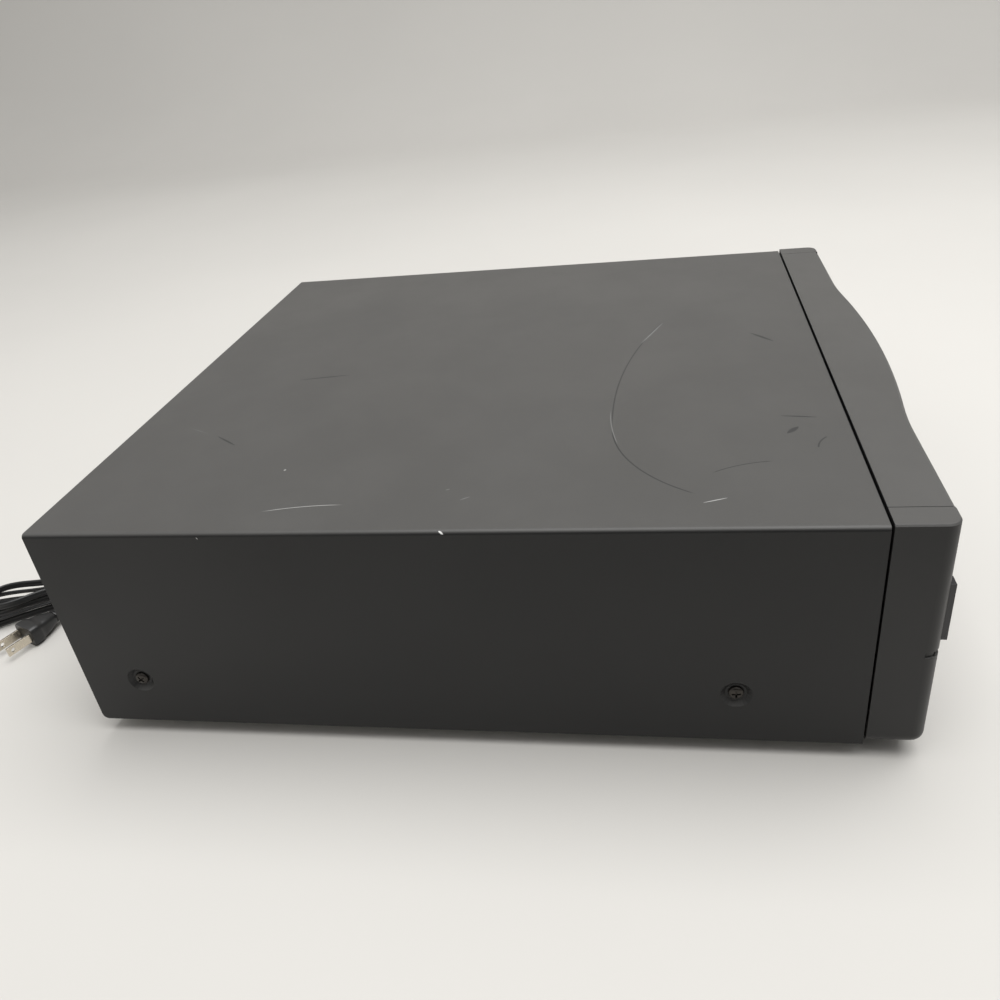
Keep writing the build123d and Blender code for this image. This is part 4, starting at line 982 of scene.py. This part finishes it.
def makeKnob(k):
    r, low = k["radius"], k["skirt"]
    profile = [(0.4, 0.3), (r - 2.4, 0.3), (r - 1.6, 0.0), (r - 0.9, 0.0), (r - 0.25, 0.5), (r, 1.1), (r, low - 0.2)]
    profile += [(r - 0.3, low), (k["stem"], low), (k["stem"], k["stemEnd"]), (0.4, k["stemEnd"])]
    sides = k["flutes"] * 4
    seat = alongY(k["x"], k["front"], k["z"])
    body = lathe("levelKnob", profile, sides, Matrix.Identity(4))
    for index, vert in enumerate(body.data.vertices):
        ring, step = divmod(index, sides)
        if 4 <= ring <= 7 and step % 4 >= 2:  # the rim's rings, every other pair of points
            vert.co.x *= 0.965
            vert.co.y *= 0.965
    body.data.transform(seat)
    sharpAbove(body, 30)
    return dress(body, "keyPlastic", "key_plastic", "knob", "level_knob")


makeKnob(knob)


def slab(name, outline, depth, seat):
    # a thin plate with a drawn outline (x, z pairs), its face toward -y
    verts = [seat @ (Vector((x, y, z)) * mm) for y in (0, depth) for x, z in outline]
    count = len(outline)
    faces = [tuple(range(count)), tuple(reversed(range(count, 2 * count)))]
    for step in range(count):
        after = (step + 1) % count
        faces.append((step, step + count, after + count, after))
    return addMesh(name, verts, faces, smooth=False)


def makePointer(p):
    line = [(-p["half"], p["from"]), (p["half"], p["from"]), (p["half"], p["to"]), (-p["half"], p["to"])]
    seat = Matrix.Translation(Vector((knob["x"], knob["front"] - p["above"], knob["z"])) * mm)
    return dress(slab("knobPointer", line, p["thick"], seat), "markWhite", "key_plastic", "knob")


makePointer(knobPointer)

# plain transport signs and disc numbers on the keys
keySigns = {
    "play_button": [[(-2.2, -2.6), (2.6, 0), (-2.2, 2.6)]],
    "pause_button": [
        [(-2.2, -2.4), (-0.7, -2.4), (-0.7, 2.4), (-2.2, 2.4)],
        [(0.7, -2.4), (2.2, -2.4), (2.2, 2.4), (0.7, 2.4)],
    ],
    "stop_button": [[(-2.1, -2.1), (2.1, -2.1), (2.1, 2.1), (-2.1, 2.1)]],
    "skip_back_button": [
        [(0.2, -1.8), (0.2, 1.8), (-2.8, 0)],
        [(3.2, -1.8), (3.2, 1.8), (0.2, 0)],
        [(-3.6, -1.8), (-2.9, -1.8), (-2.9, 1.8), (-3.6, 1.8)],
    ],
    "skip_forward_button": [
        [(-0.2, 1.8), (-0.2, -1.8), (2.8, 0)],
        [(-3.2, 1.8), (-3.2, -1.8), (-0.2, 0)],
        [(2.9, -1.8), (3.6, -1.8), (3.6, 1.8), (2.9, 1.8)],
    ],
    "open_close_button": [
        [(-1.8, 0.2), (1.8, 0.2), (0, 2.4)],
        [(-1.8, -1.4), (1.8, -1.4), (1.8, -0.6), (-1.8, -0.6)],
    ],
}


def pressedOnto(piece, node, above=0.05):
    # lays a flat sign on the curved face of its key
    key = nodes[node]
    for vert in piece.data.vertices:
        depth = vert.co.y
        hit, spot, _, _ = key.ray_cast(Vector((vert.co.x, -0.4, vert.co.z)), Vector((0, 1, 0)))
        if hit:
            vert.co.y = spot.y - above * mm + depth
    piece.data.update()


def keySeat(name):
    low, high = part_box(name)
    return Matrix.Translation(((low.x + high.x) / 2, 0, (low.z + high.z) / 2))


def makeSigns():
    for name, shapes in keySigns.items():
        seat = keySeat(name)
        parts = [slab("sign", outline, 0.12, seat) for outline in shapes]
        sign = joined("sign_" + name, parts)
        pressedOnto(sign, name)
        dress(sign, "markWhite", "key_plastic", name)
    for number, name in enumerate(discKeys, 1):
        text = bpy.data.curves.new("digit", "FONT")
        text.body = str(number)
        text.size = 4.6 * mm
        text.extrude = 0.06 * mm
        text.align_x, text.align_y = "CENTER", "CENTER"
        holder = bpy.data.objects.new("digit", text)
        scene.collection.objects.link(holder)
        bpy.context.view_layer.update()
        mesh = bpy.data.meshes.new_from_object(holder)
        bpy.data.objects.remove(holder)
        mesh.transform(keySeat(name) @ Matrix.Rotation(math.pi / 2, 4, "X"))
        digit = bpy.data.objects.new("sign_" + name, mesh)
        scene.collection.objects.link(digit)
        pressedOnto(digit, name)
        dress(digit, "markWhite", "key_plastic", name)


makeSigns()
print("keys marked")

# output jacks: metal sleeves and coloured collars
jacks = {"x": (111.0, 125.0), "z": 40.0, "face": 228.2, "tip": 236.8, "radius": 4.15}


def makeJacks(j):
    reach = j["tip"] - j["face"]
    sleeves = []
    for x, color in zip(j["x"], ("jackWhite", "jackRed")):
        seat = alongY(x, j["face"], j["z"])
        r = j["radius"]
        ring = [(r + 0.2, 0.0), (r + 2.2, 0.0), (r + 2.3, 0.4), (r + 2.2, 1.6), (r + 1.9, 1.9), (r + 0.3, 1.9)]
        collar = lathe("collar_" + color, ring + [(r + 0.2, 1.6)], 48, seat, closeEnds=False)
        sharpAbove(collar, 35)
        dress(collar, color, "jack_black", "case")
        outline = [(r + 0.02, 0.2), (r + 0.12, 0.3), (r + 0.12, reach - 0.5), (r - 0.1, reach + 0.05)]
        outline += [(2.4, reach + 0.05), (2.3, reach - 0.4)]
        sleeves.append(lathe("sleeve", outline, 48, seat, closeEnds=False))
    sleeve = joined("jackSleeves", sleeves)
    sharpAbove(sleeve, 35)
    dress(sleeve, "rodSteel", "rod_steel", "case")


makeJacks(jacks)
print("jacks")
